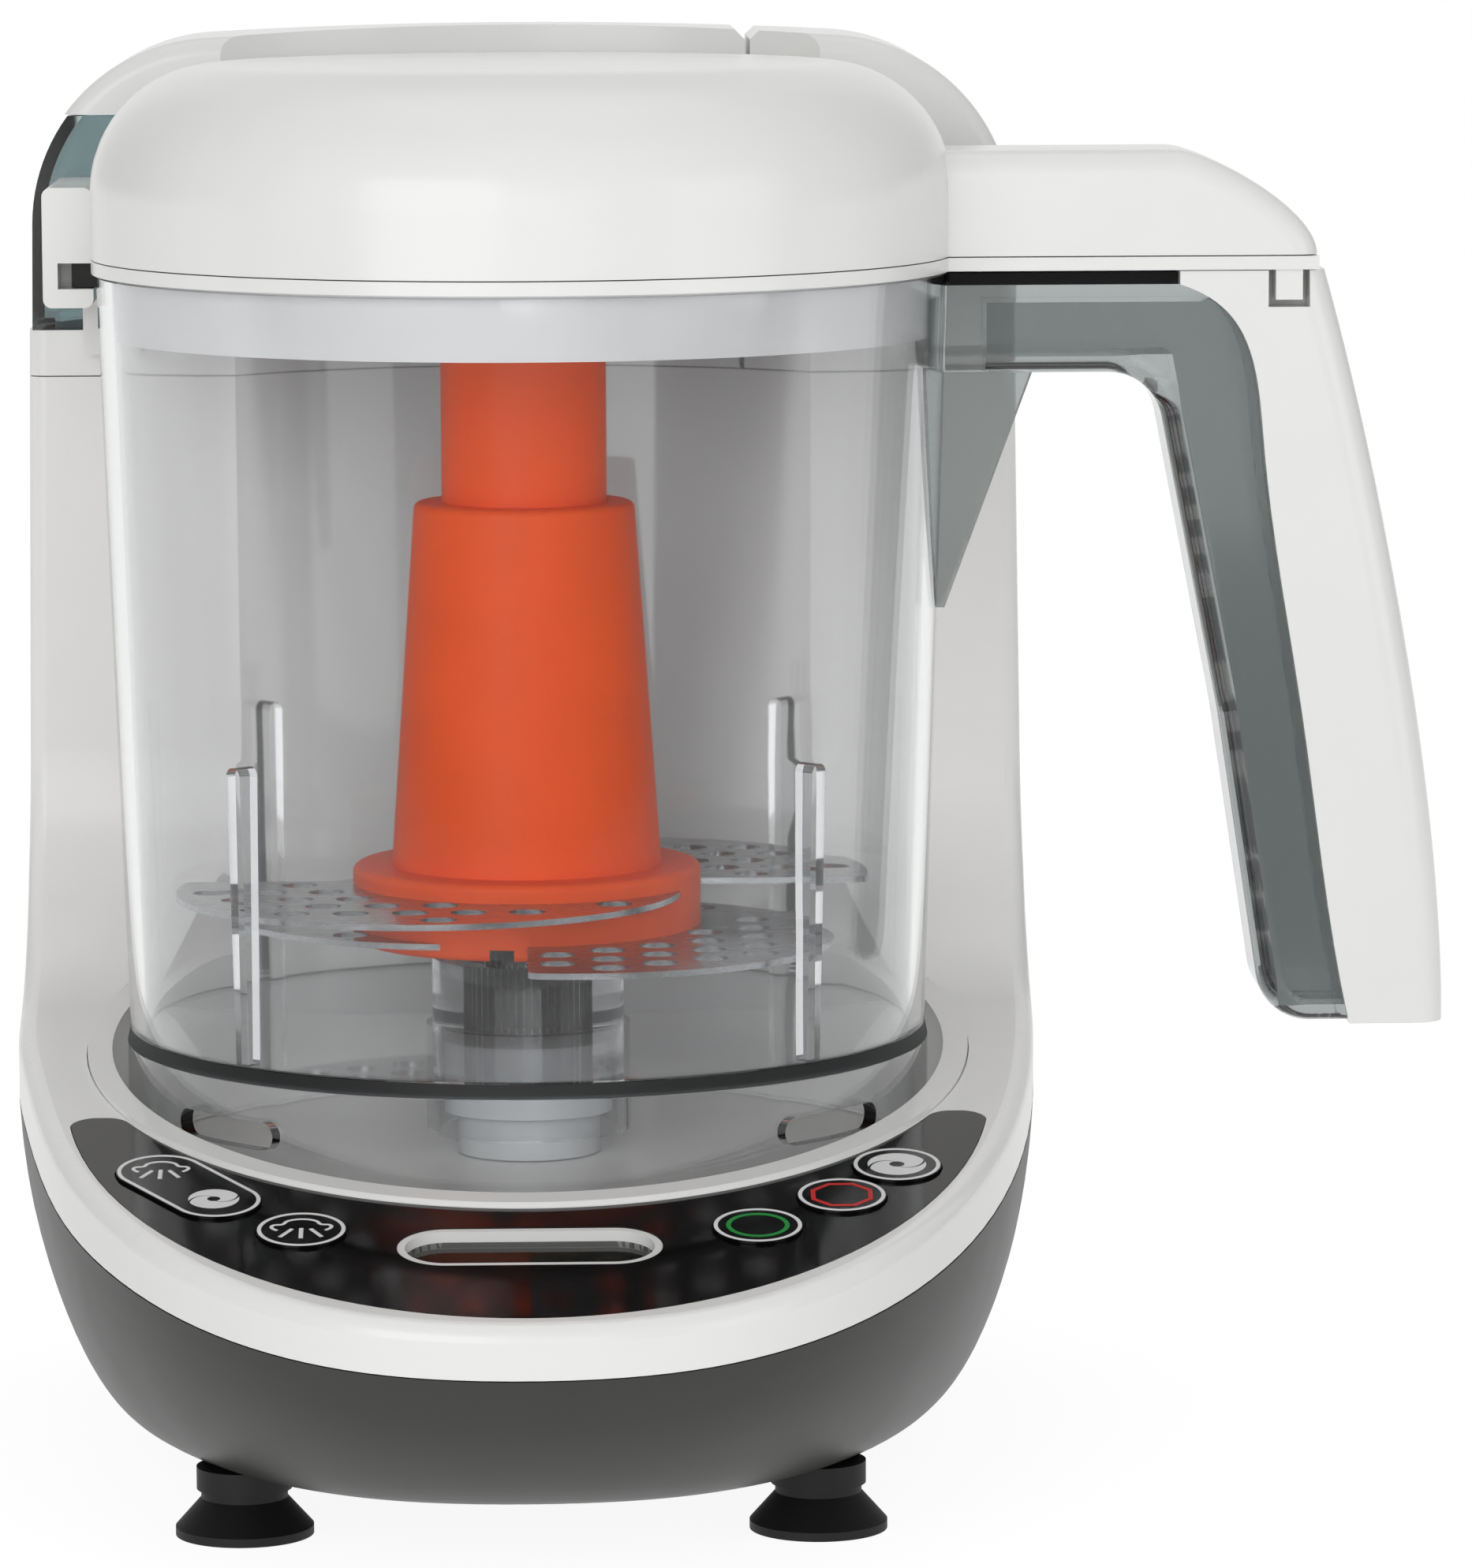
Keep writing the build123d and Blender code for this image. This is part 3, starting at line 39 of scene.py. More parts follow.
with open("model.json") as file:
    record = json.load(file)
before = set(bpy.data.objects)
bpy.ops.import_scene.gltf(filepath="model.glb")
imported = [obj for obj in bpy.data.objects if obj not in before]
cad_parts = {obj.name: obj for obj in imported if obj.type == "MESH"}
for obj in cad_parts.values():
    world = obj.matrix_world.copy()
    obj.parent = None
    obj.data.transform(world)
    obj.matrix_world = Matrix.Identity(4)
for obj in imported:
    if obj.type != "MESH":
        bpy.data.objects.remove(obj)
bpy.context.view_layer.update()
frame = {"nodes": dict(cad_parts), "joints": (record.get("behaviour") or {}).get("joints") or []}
NODES = frame["nodes"]
MM = 0.001

# The buttons press straight into the panel, so the panel's normal is the way back out.
PRESS = next(j["axis"] for j in frame["joints"] if j["name"] == "start_press")
PANEL_NORMAL = -Vector(PRESS).normalized()
PANEL_ACROSS = Vector((1.0, 0.0, 0.0))
PANEL_UP = PANEL_NORMAL.cross(PANEL_ACROSS)
CAP_FLATNESS = 0.01 * MM

# Relief and gloss that every moulded face shares.
GRAIN_STRENGTH = 0.35
GLOSS_PATCH = 18 * MM

# Brushing: how far the scratches run, and how their gloss swings about the mean.
SCRATCH_STRETCH = (0.04, 1.0, 1.0)
SCRATCH_STRENGTH = 0.25
SCRATCH_DEPTH = 0.02 * MM
SCRATCH_SMOOTHER = 0.07
SCRATCH_ROUGHER = 0.1

# Heights between which the bowl's thick floor is seen edge-on and its band of painted shade goes, and
# how dull it is there.
BOWL_FLOOR = (69.7 * MM, 72.1 * MM)
BOWL_FLOOR_ROUGHNESS = 0.6

# Symbols, drawn about the middle of a cap: the cloud's outline and the jets below it.
CLOUD = [
    (-0.86, -0.10), (-1.12, 0.12), (-1.04, 0.46), (-0.66, 0.44), (-0.56, 0.84), (0.0, 1.04),
    (0.56, 0.84), (0.66, 0.44), (1.04, 0.46), (1.12, 0.12), (0.86, -0.10),
]
JETS = [
    [(0.0, 0.10), (0.0, -0.86)],
    [(-0.34, 0.04), (-0.76, -0.74)],
    [(0.34, 0.04), (0.76, -0.74)],
]

# The swirl's eye as a share of its radius, and its angles in radians.
SWIRL_EYE = 0.26
SWIRL_GAP = 0.2
SWIRL_TWIST = 1.5
SWIRL_START = 0.4
SWIRL_STEPS = 12

# Sizes of the symbols as shares of the symbol radius, and of their lines as shares of the line.
STEAM_SHARE = 0.92
PAIR_SHARE = 0.86
PAIR_SWIRL_OFFSET = 0.9
RING_SHARE = 0.98
OCTAGON_SHARE = 1.04
JET_LINE = 1.15
RING_LINE = 1.2
OCTAGON_LINE = 1.3
ROUND_SEGMENTS = 64

# Softboxes: where each hangs and how wide it is, in metres, and the point that they face.
KEY_BOX = ((-0.65, -1.45, 0.45), 1.0)
FILL_BOX = ((1.2, -0.9, 0.4), 0.8)
TOP_BOX = ((0.0, 0.1, 1.5), 1.0)
BOWL_BOX = ((0.1, -1.5, 0.3), 0.6)
LAMP_TARGET = Vector((0.0, 0.0, 0.12))

# The floor shows this share of its own glow over the lit paper, lifted until both come out white.
FLOOR_REACH = 25.0
FLOOR_SHARE = 0.8
FLOOR_LIFT = 1.14

# Where the floor grows dim towards the camera, in metres, and where the room's walls do, as the
# parts of a direction.
FLOOR_DIM = {"From Min": -0.6, "From Max": -0.25}
SIDE_DIM = {"From Min": 0.3, "From Max": 0.8}
FRONT_DIM = {"From Min": -0.3, "From Max": 0.2}

SENSOR_WIDTH = 36.0


def linear(hex_value):
    """Turn an sRGB hex value into linear red, green and blue."""
    channels = [int(hex_value[i:i + 2], 16) / 255 for i in (1, 3, 5)]
    return tuple(c / 12.92 if c <= 0.04045 else ((c + 0.055) / 1.055) ** 2.4 for c in channels)


class FoodMakerFinishes(bpy.types.PropertyGroup):
    """Colours of the mouldings, metals and inks."""

    white: FloatVectorProperty(
        name="White ABS", description="Gloss white mouldings",
        subtype="COLOR", default=linear("#EEEEEC"))
    charcoal: FloatVectorProperty(
        name="Charcoal ABS", description="Satin lower shell",
        subtype="COLOR", default=linear("#2F2F2D"))
    panel: FloatVectorProperty(
        name="Panel black", description="Gloss control panel and buttons",
        subtype="COLOR", default=linear("#0A0A0B"))
    smoke: FloatVectorProperty(
        name="Bowl smoke", description="Tint of the clear bowl wall",
        subtype="COLOR", default=linear("#F1F2F3"))
    # Painted shade: dark colour for the band where the clear bowl's thick floor is seen edge-on
    # through the wall.
    floor_edge_painted_shade: FloatVectorProperty(
        name="Floor edge", description="Bowl floor seen edge-on",
        subtype="COLOR", default=linear("#3A4044"))
    handle_smoke: FloatVectorProperty(
        name="Handle smoke", description="Tint of the see-through handle frame",
        subtype="COLOR", default=linear("#A3A8A8"))
    tank: FloatVectorProperty(
        name="Tank blue grey", description="Tint of the water tank",
        subtype="COLOR", default=linear("#A5B4B6"))
    orange: FloatVectorProperty(
        name="Hub orange", description="Blade hub and its stem",
        subtype="COLOR", default=linear("#F55818"))
    silicone: FloatVectorProperty(
        name="Silicone", description="Lid seal and hoses",
        subtype="COLOR", default=linear("#F0F0F1"))
    steel: FloatVectorProperty(
        name="Stainless steel", description="Blades",
        subtype="COLOR", default=linear("#ABADAF"))
    green_ink: FloatVectorProperty(
        name="Green ink", description="Ring on the start button",
        subtype="COLOR", default=linear("#1F9A3F"))
    red_ink: FloatVectorProperty(
        name="Red ink", description="Octagon on the stop button",
        subtype="COLOR", default=linear("#D32A26"))
    white_ink: FloatVectorProperty(
        name="White ink", description="Outlines and symbols",
        subtype="COLOR", default=linear("#F2F2F2"))


class FoodMakerPrint(bpy.types.PropertyGroup):
    """Sizes of the printed symbols on the buttons."""

    line: FloatProperty(
        name="Line width", description="Width of outlines and strokes",
        default=0.62 * MM, unit="LENGTH")
    height: FloatProperty(
        name="Ink height", description="How far the ink stands off the cap",
        default=0.05 * MM, unit="LENGTH")
    inset: FloatProperty(
        name="Outline inset", description="From the cap's edge to the outline",
        default=0.5 * MM, unit="LENGTH")
    symbol: FloatProperty(
        name="Symbol radius", description="Half the width of a symbol",
        default=4.7 * MM, unit="LENGTH")


class FoodMakerStudio(bpy.types.PropertyGroup):
    """Camera, lamps and the room's light."""

    distance: FloatProperty(
        name="Camera distance", description="In front of the drive axis",
        default=1.24, unit="LENGTH")
    height: FloatProperty(
        name="Camera height", description="Above the table",
        default=0.2723, unit="LENGTH")
    pitch: FloatProperty(
        name="Pitch", description="Downward tilt",
        default=math.radians(7.4), subtype="ANGLE", unit="ROTATION")
    yaw: FloatProperty(
        name="Yaw", description="Turn to the right",
        default=math.radians(1.61), subtype="ANGLE", unit="ROTATION")
    roll: FloatProperty(
        name="Roll", description="Clockwise lean",
        default=math.radians(0.24), subtype="ANGLE", unit="ROTATION")
    lens: FloatProperty(name="Lens", description="Focal length in millimetres", default=172.7)
    key: FloatProperty(
        name="Key lamp", description="Left front softbox",
        default=6.5, unit="POWER")
    fill: FloatProperty(
        name="Fill lamp", description="Right front softbox",
        default=2.0, unit="POWER")
    bowl_lamp: FloatProperty(
        name="Bowl lamp", description="Softbox that lights the bowl's inside",
        default=4.0, unit="POWER")
    top: FloatProperty(
        name="Top lamp", description="Overhead softbox",
        default=0.8, unit="POWER")
    ambient: FloatProperty(
        name="Ambient", description="Strength of the room's own light", default=0.5)
    side: FloatProperty(
        name="Side walls", description="Strength of the walls as seen in glass", default=0.2)
    front: FloatProperty(
        name="Front wall", description="Strength behind the camera as seen in gloss", default=0.06)


def add_node(tree, kind, values=None, links=None, **settings):
    """Add one shader node with its settings, its socket values and the sockets that feed it."""
    node = tree.nodes.new(kind)
    for key, value in settings.items():
        setattr(node, key, value)
    for key, value in (values or {}).items():
        node.inputs[key].default_value = value
    for key, source in (links or {}).items():
        tree.links.new(source, node.inputs[key])
    return node


def new_finish(name, **values):
    """Start a material whose shader has these values, and return it with its tree and shader."""
    material = bpy.data.materials.new(name)
    material.use_nodes = True
    tree = material.node_tree
    tree.nodes.clear()
    shader = add_node(tree, "ShaderNodeBsdfPrincipled", values)
    add_node(tree, "ShaderNodeOutputMaterial", links={"Surface": shader.outputs["BSDF"]})
    return material, tree, shader


def shade(colour, factor=1.0):
    """Lighter or darker version of a colour, with the alpha that a socket wants."""
    return (*[min(1.0, c * factor) for c in colour], 1.0)


def surface_grain(tree, shader, size, depth, roughness, spread):
    """Fine relief of a tool face: a bump of a real grain size and a little change in gloss.

    The socket that it returns is the slow drift behind the gloss, for a drift in tone.
    """
    place = add_node(tree, "ShaderNodeTexCoord").outputs["Object"]
    grain = add_node(
        tree, "ShaderNodeTexNoise", {"Scale": 1 / size, "Detail": 2.0}, {"Vector": place})
    bump = add_node(
        tree, "ShaderNodeBump", {"Strength": GRAIN_STRENGTH, "Distance": depth},
        {"Height": grain.outputs["Fac"]})
    tree.links.new(bump.outputs["Normal"], shader.inputs["Normal"])
    patch = add_node(
        tree, "ShaderNodeTexNoise", {"Scale": 1 / GLOSS_PATCH, "Detail": 3.0}, {"Vector": place})
    gloss = add_node(
        tree, "ShaderNodeMapRange", {"To Min": roughness - spread, "To Max": roughness + spread},
        {"Value": patch.outputs["Fac"]})
    tree.links.new(gloss.outputs["Result"], shader.inputs["Roughness"])
    return patch.outputs["Fac"]


def two_tone(tree, shader, factor, first, second):
    """Colour that drifts between two close tones."""
    ramp = add_node(tree, "ShaderNodeValToRGB", links={"Fac": factor})
    ramp.color_ramp.elements[0].position = 0.3
    ramp.color_ramp.elements[0].color = first
    ramp.color_ramp.elements[1].position = 0.7
    ramp.color_ramp.elements[1].color = second
    tree.links.new(ramp.outputs["Color"], shader.inputs["Base Color"])


def gloss_abs(colour):
    """Polished ABS moulding: bright and even, with the faint orange peel of a polished tool."""
    material, tree, shader = new_finish("gloss_white_abs", IOR=1.53)
    drift = surface_grain(
        tree, shader, size=2.2 * MM, depth=0.02 * MM, roughness=0.22, spread=0.04)
    two_tone(tree, shader, drift, shade(colour, 0.985), shade(colour))
    return material


def satin_abs(colour):
    """Spark-eroded ABS: dark, soft sheen and a fine pebble, drawn at 0.6 mm so that it shows."""
    material, tree, shader = new_finish("satin_charcoal_abs", IOR=1.53)
    drift = surface_grain(
        tree, shader, size=0.6 * MM, depth=0.05 * MM, roughness=0.44, spread=0.05)
    two_tone(tree, shader, drift, shade(colour, 0.93), shade(colour, 1.05))
    return material


def gloss_acrylic(name, colour, roughness):
    """Back-printed acrylic: deep black under a clear, nearly mirror-smooth, faintly dusty face."""
    material, tree, shader = new_finish(name, IOR=1.49)
    drift = surface_grain(
        tree, shader, size=6 * MM, depth=0.006 * MM, roughness=roughness, spread=0.03)
    two_tone(tree, shader, drift, shade(colour, 0.9), shade(colour, 1.2))
    return material


def clear_copolyester(name, colour, roughness, ior):
    """Clear moulded copolyester: glassy, faintly smoked, with slight flow lines along the wall."""
    material, tree, shader = new_finish(name, IOR=ior)
    shader.inputs["Transmission Weight"].default_value = 1.0
    shader.inputs["Base Color"].default_value = shade(colour)
    surface_grain(
        tree, shader, size=14 * MM, depth=0.004 * MM, roughness=roughness, spread=0.012)
    return material


def smoked_bowl(colour, edge):
    """Clear copolyester bowl, with a dull band of painted shade where its thick floor is seen edge-on
    through the wall.
    """
    material = clear_copolyester("smoked_clear_copolyester", colour, roughness=0.03, ior=1.52)
    tree = material.node_tree
    shader = next(node for node in tree.nodes if node.type == "BSDF_PRINCIPLED")
    gloss = shader.inputs["Roughness"].links[0].from_socket
    place = add_node(tree, "ShaderNodeTexCoord")
    parts = add_node(tree, "ShaderNodeSeparateXYZ", links={"Vector": place.outputs["Object"]})
    low, high = BOWL_FLOOR
    band = add_node(
        tree, "ShaderNodeMath", {1: (low + high) / 2, 2: (high - low) / 2},
        {0: parts.outputs["Z"]}, operation="COMPARE")
    dull = add_node(
        tree, "ShaderNodeMath", {1: BOWL_FLOOR_ROUGHNESS}, {0: band.outputs["Value"]},
        operation="MULTIPLY")
    rough = add_node(
        tree, "ShaderNodeMath", links={0: gloss, 1: dull.outputs["Value"]}, operation="MAXIMUM")
    tree.links.new(rough.outputs["Value"], shader.inputs["Roughness"])
    # Painted shade: within the band the clear tint turns to the dark floor colour.
    two_tone(tree, shader, band.outputs["Value"], shade(colour), shade(edge))
    return material


def moulded_silicone(colour):
    """Milky silicone: soft, a little see-through, with a waxy sheen."""
    material, tree, shader = new_finish("milky_silicone", IOR=1.41)
    shader.inputs["Transmission Weight"].default_value = 0.05
    shader.inputs["Subsurface Weight"].default_value = 0.2
    shader.inputs["Subsurface Radius"].default_value = (2 * MM, 2 * MM, 2 * MM)
    drift = surface_grain(
        tree, shader, size=1.1 * MM, depth=0.02 * MM, roughness=0.42, spread=0.05)
    two_tone(tree, shader, drift, shade(colour, 0.96), shade(colour))
    return material


def orange_polypropylene(colour):
    """Moulded polypropylene: saturated, slightly waxy, light soaking in at the edges."""
    material, tree, shader = new_finish("orange_polypropylene", IOR=1.49)
    shader.inputs["Specular IOR Level"].default_value = 0.25
    shader.inputs["Subsurface Weight"].default_value = 0.12
    shader.inputs["Subsurface Radius"].default_value = (3 * MM, 1.2 * MM, 0.6 * MM)
    drift = surface_grain(
        tree, shader, size=0.8 * MM, depth=0.03 * MM, roughness=0.46, spread=0.05)
    two_tone(tree, shader, drift, shade(colour, 0.95), shade(colour, 1.04))
    return material


def brushed_steel(name, colour, roughness, line):
    """Rolled and brushed steel: fine parallel scratches that stretch the highlights."""
    material, tree, shader = new_finish(name, Metallic=1.0)
    place = add_node(tree, "ShaderNodeTexCoord")
    turn = add_node(
        tree, "ShaderNodeMapping", {"Scale": SCRATCH_STRETCH}, {"Vector": place.outputs["Object"]})
    lines = add_node(
        tree, "ShaderNodeTexNoise", {"Scale": 1 / line, "Detail": 3.0},
        {"Vector": turn.outputs["Vector"]})
    bump = add_node(
        tree, "ShaderNodeBump", {"Strength": SCRATCH_STRENGTH, "Distance": SCRATCH_DEPTH},
        {"Height": lines.outputs["Fac"]})
    tree.links.new(bump.outputs["Normal"], shader.inputs["Normal"])
    gloss = add_node(
        tree, "ShaderNodeMapRange",
        {"To Min": roughness - SCRATCH_SMOOTHER, "To Max": roughness + SCRATCH_ROUGHER},
        {"Value": lines.outputs["Fac"]})
    tree.links.new(gloss.outputs["Result"], shader.inputs["Roughness"])
    two_tone(tree, shader, lines.outputs["Fac"], shade(colour, 0.9), shade(colour, 1.02))
    return material


def plain_finish(name, hex_value, roughness, grain, metallic=0.0):
    """Everyday moulded or cast surface: a grain of a real size and a drift in tone."""
    material, tree, shader = new_finish(name, Metallic=metallic)
    drift = surface_grain(
        tree, shader, size=grain, depth=0.05 * MM, roughness=roughness, spread=0.06)
    colour = linear(hex_value)
    two_tone(tree, shader, drift, shade(colour, 0.9), shade(colour, 1.08))
    return material


def circuit_board():
    """Glass-epoxy board: green resist over copper tracks on a 2.5 mm grid."""
    material, tree, shader = new_finish("green_circuit_board", Roughness=0.38, IOR=1.5)
    place = add_node(tree, "ShaderNodeTexCoord")
    tracks = add_node(
        tree, "ShaderNodeTexBrick",
        {"Scale": 1.0, "Brick Width": 7.5 * MM, "Row Height": 2.5 * MM, "Mortar Size": 0.25 * MM,
         "Color1": shade(linear("#14532E")), "Color2": shade(linear("#185C34")),
         "Mortar": shade(linear("#2F7A4A"))},
        {"Vector": place.outputs["Object"]})
    tree.links.new(tracks.outputs["Color"], shader.inputs["Base Color"])
    return material


def screen_face():
    """Reflective liquid crystal behind glass: grey green, with a slight sheen from side to side."""
    material, tree, shader = new_finish("liquid_crystal", Roughness=0.35, IOR=1.5)
    place = add_node(tree, "ShaderNodeTexCoord")
    drift = add_node(
        tree, "ShaderNodeTexNoise", {"Scale": 1 / (22 * MM), "Detail": 1.0},
        {"Vector": place.outputs["Object"]})
    dark = shade(linear("#3C403A"))
    light = shade(linear("#6E7460"))
    two_tone(tree, shader, drift.outputs["Fac"], dark, light)
    return material


def printing_ink(name, colour):
    """Screen-printed ink: opaque and slightly matt, a little thinner in places."""
    material, tree, shader = new_finish(name, IOR=1.5)
    drift = surface_grain(
        tree, shader, size=0.4 * MM, depth=0.004 * MM, roughness=0.45, spread=0.05)
    two_tone(tree, shader, drift, shade(colour, 0.94), shade(colour))
    return material


def dress(material, *names):
    """Give CAD nodes a finish in place of their plain one."""
    for name in names:
        for slot in NODES[name].material_slots:
            slot.material = material


def button_face(node):
    """Matrix that puts flat work on a button's cap, and the cap's half sizes across and up."""
    points = [v.co for v in NODES[node].data.vertices]
    top = max(p.dot(PANEL_NORMAL) for p in points)
    cap = [p for p in points if p.dot(PANEL_NORMAL) > top - CAP_FLATNESS]
    across = [p.dot(PANEL_ACROSS) for p in cap]
    up = [p.dot(PANEL_UP) for p in cap]
    middle = PANEL_ACROSS * (max(across) + min(across)) / 2 + PANEL_UP * (max(up) + min(up)) / 2
    matrix = Matrix((PANEL_ACROSS, PANEL_UP, PANEL_NORMAL)).transposed().to_4x4()
    matrix.translation = middle + PANEL_NORMAL * top
    return matrix, (max(across) - min(across)) / 2, (max(up) - min(up)) / 2


def add_ring(bm, segments, radius, width, turn=0.0):
    """Flat ring, or a regular outline where the segments are few."""
    edges = []
    verts = []
    for size in (radius + width / 2, radius - width / 2):
        loop = bmesh.ops.create_circle(bm, segments=segments, radius=size)["verts"]
        verts += loop
        edges += list({e for v in loop for e in v.link_edges})
    bmesh.ops.bridge_loops(bm, edges=edges)
    bmesh.ops.rotate(bm, verts=verts, matrix=Matrix.Rotation(turn, 3, "Z"))
    return verts


def add_stroke(bm, points, width, height, at, smooth=True):
    """Pen stroke through some points, as a flattened round line."""
    curve = bpy.data.curves.new("stroke", "CURVE")
    curve.dimensions = "3D"
    curve.bevel_depth = width / 2
    curve.bevel_resolution = 2
    curve.use_fill_caps = True
    spline = curve.splines.new("NURBS" if smooth else "POLY")
    spline.points.add(len(points) - 1)
    for point, (x, y) in zip(spline.points, points):
        point.co = (x + at[0], y + at[1], 0.0, 1.0)
    if smooth:
        spline.order_u = 3
        spline.use_endpoint_u = True
    holder = bpy.data.objects.new("stroke", curve)
    mesh = bpy.data.meshes.new_from_object(holder)
    mesh.transform(Matrix.Diagonal((1.0, 1.0, 2 * height / width, 1.0)))
    bm.from_mesh(mesh)
    bpy.data.meshes.remove(mesh)
    bpy.data.objects.remove(holder)
    bpy.data.curves.remove(curve)


def thicken(bm, height):
    """Give flat faces the height of the ink."""
    flat = list(bm.faces)
    grown = bmesh.ops.extrude_face_region(bm, geom=flat)["geom"]
    verts = [g for g in grown if isinstance(g, bmesh.types.BMVert)]
    bmesh.ops.translate(bm, verts=verts, vec=(0.0, 0.0, height))


def place_print(bm, name, matrix, body, material):
    """Turn flat work into a piece on a button and let it move with that button."""
    bmesh.ops.recalc_face_normals(bm, faces=bm.faces)
    bmesh.ops.transform(bm, matrix=matrix, verts=bm.verts)
    mesh = bpy.data.meshes.new(name)
    bm.to_mesh(mesh)
    bm.free()
    mesh.materials.append(material)
    piece = bpy.data.objects.new(name, mesh)
    bpy.context.scene.collection.objects.link(piece)
    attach(piece, body)


def scaled(points, size):
    """Points of a symbol, brought to size."""
    return [(x * size, y * size) for x, y in points]


def draw_steam(bm, size, width, height, at=(0.0, 0.0)):
    """Cloud with three jets of steam under it."""
    add_stroke(bm, scaled(CLOUD, size), width, height, at)
    for jet in JETS:
        add_stroke(bm, scaled(jet, size), width * JET_LINE, height, at, smooth=False)


def draw_swirl(bm, size, height, at=(0.0, 0.0)):
    """Disc of two curved blades round a small eye, with gaps between the blades."""
    eye = SWIRL_EYE * size
    sweep = math.pi - SWIRL_GAP
    shares = [i / SWIRL_STEPS for i in range(SWIRL_STEPS)]
    for half in range(2):
        start = math.pi * half + SWIRL_START
        end = start + sweep
        rim = [(start + sweep * t, size) for t in shares]
        fall = [(end - SWIRL_TWIST * t, size + (eye - size) * t) for t in shares]
        hole = [(end - SWIRL_TWIST - sweep * t, eye) for t in shares]
        climb = [(start - SWIRL_TWIST + SWIRL_TWIST * t, eye + (size - eye) * t) for t in shares]
        outline = rim + fall + hole + climb
        places = [(r * math.cos(a) + at[0], r * math.sin(a) + at[1], 0.0) for a, r in outline]
        bm.faces.new([bm.verts.new(place) for place in places])
    thicken(bm, height)


class FOODMAKER_OT_mouldings(bpy.types.Operator):
    """Finish the white and charcoal mouldings, the feet and the lid seal"""

    bl_idname = "foodmaker.mouldings"
    bl_label = "Mouldings"

    def execute(self, context):
        finish = context.scene.food_maker_finishes
        white = gloss_abs(finish.white)
        dress(
            white, "upper_housing", "bowl_well", "head_cap", "interlock_bracket", "handle_cover",
            "lid_cover", "lid_base", "tank_collar", "tank_lid", "display_bezel")
        dress(satin_abs(finish.charcoal), "lower_shell")
        rubber = plain_finish("moulded_black_rubber", "#070707", roughness=0.62, grain=0.7 * MM)
        feet = [name for name in NODES if name.startswith("foot_")]
        dress(rubber, *feet, "cord_gland", "handle_pad")
        silicone = moulded_silicone(finish.silicone)
        dress(silicone, "lid_seal", "spindle_seal", "water_hose", "steam_hose")
        return {"FINISHED"}


class FOODMAKER_OT_clear_parts(bpy.types.Operator):
    """Finish the smoked bowl, the handle frame and the water tank"""

    bl_idname = "foodmaker.clear_parts"
    bl_label = "Clear parts"

    def execute(self, context):
        finish = context.scene.food_maker_finishes
        handle = clear_copolyester(
            "smoked_handle_copolyester", finish.handle_smoke, roughness=0.05, ior=1.5)
        tank = clear_copolyester(
            "blue_grey_tank_copolyester", finish.tank, roughness=0.06, ior=1.45)
        dress(smoked_bowl(finish.smoke, finish.floor_edge_painted_shade), "bowl")
        dress(handle, "handle_frame")
        dress(tank, "water_tank")
        for name in ("bowl", "handle_frame", "water_tank", "display_glass"):
            NODES[name].visible_shadow = False
        return {"FINISHED"}


class FOODMAKER_OT_blade_set(bpy.types.Operator):
    """Finish the orange hub, its stem and the perforated steel blades"""

    bl_idname = "foodmaker.blade_set"
    bl_label = "Blade set"

    def execute(self, context):
        finish = context.scene.food_maker_finishes
        dress(orange_polypropylene(finish.orange), "blade_hub", "hub_stem")
        steel = brushed_steel(
            "brushed_stainless_steel", finish.steel, roughness=0.24, line=0.9 * MM)
        dress(steel, "upper_blade", "lower_blade")
        return {"FINISHED"}


class FOODMAKER_OT_inner_parts(bpy.types.Operator):
    """Finish the drive, steam, power and switch parts inside the base"""

    bl_idname = "foodmaker.inner_parts"
    bl_label = "Inner parts"

    def execute(self, context):
        steel = brushed_steel(
            "ground_shaft_steel", linear("#B9BBBD"), roughness=0.3, line=0.5 * MM)
        dress(
            steel, "motor_shaft", "drive_spindle", "motor_screws", "base_screws", "tank_hinge_pin")
        zinc = plain_finish(
            "zinc_plated_steel", "#8E9194", roughness=0.45, grain=1.5 * MM, metallic=0.8)
        dress(zinc, "motor_can", "motor_plate", "boiler_bracket")
        aluminium = plain_finish(
            "cast_aluminium", "#B4B7B9", roughness=0.5, grain=1.2 * MM, metallic=0.9)
        dress(aluminium, "boiler")
        brass = plain_finish(
            "turned_brass", "#C2A057", roughness=0.32, grain=0.6 * MM, metallic=1.0)
        dress(brass, "steam_nozzle")
        nylon = plain_finish("natural_nylon", "#D9D4C4", roughness=0.5, grain=1.0 * MM)
        dress(nylon, "water_valve", "tank_valve")
        acetal = plain_finish("white_acetal", "#D3D6D8", roughness=0.42, grain=1.0 * MM)
        dress(acetal, "drive_coupling", "driven_coupling")
        black = plain_finish("moulded_black_nylon", "#161616", roughness=0.5, grain=0.8 * MM)
        dress(
            black, "interlock_switch", "interlock_plunger", "tact_switches", "thermostat",
            "board_components", "spindle_bush")
        dress(circuit_board(), "control_board", "power_board")
        return {"FINISHED"}


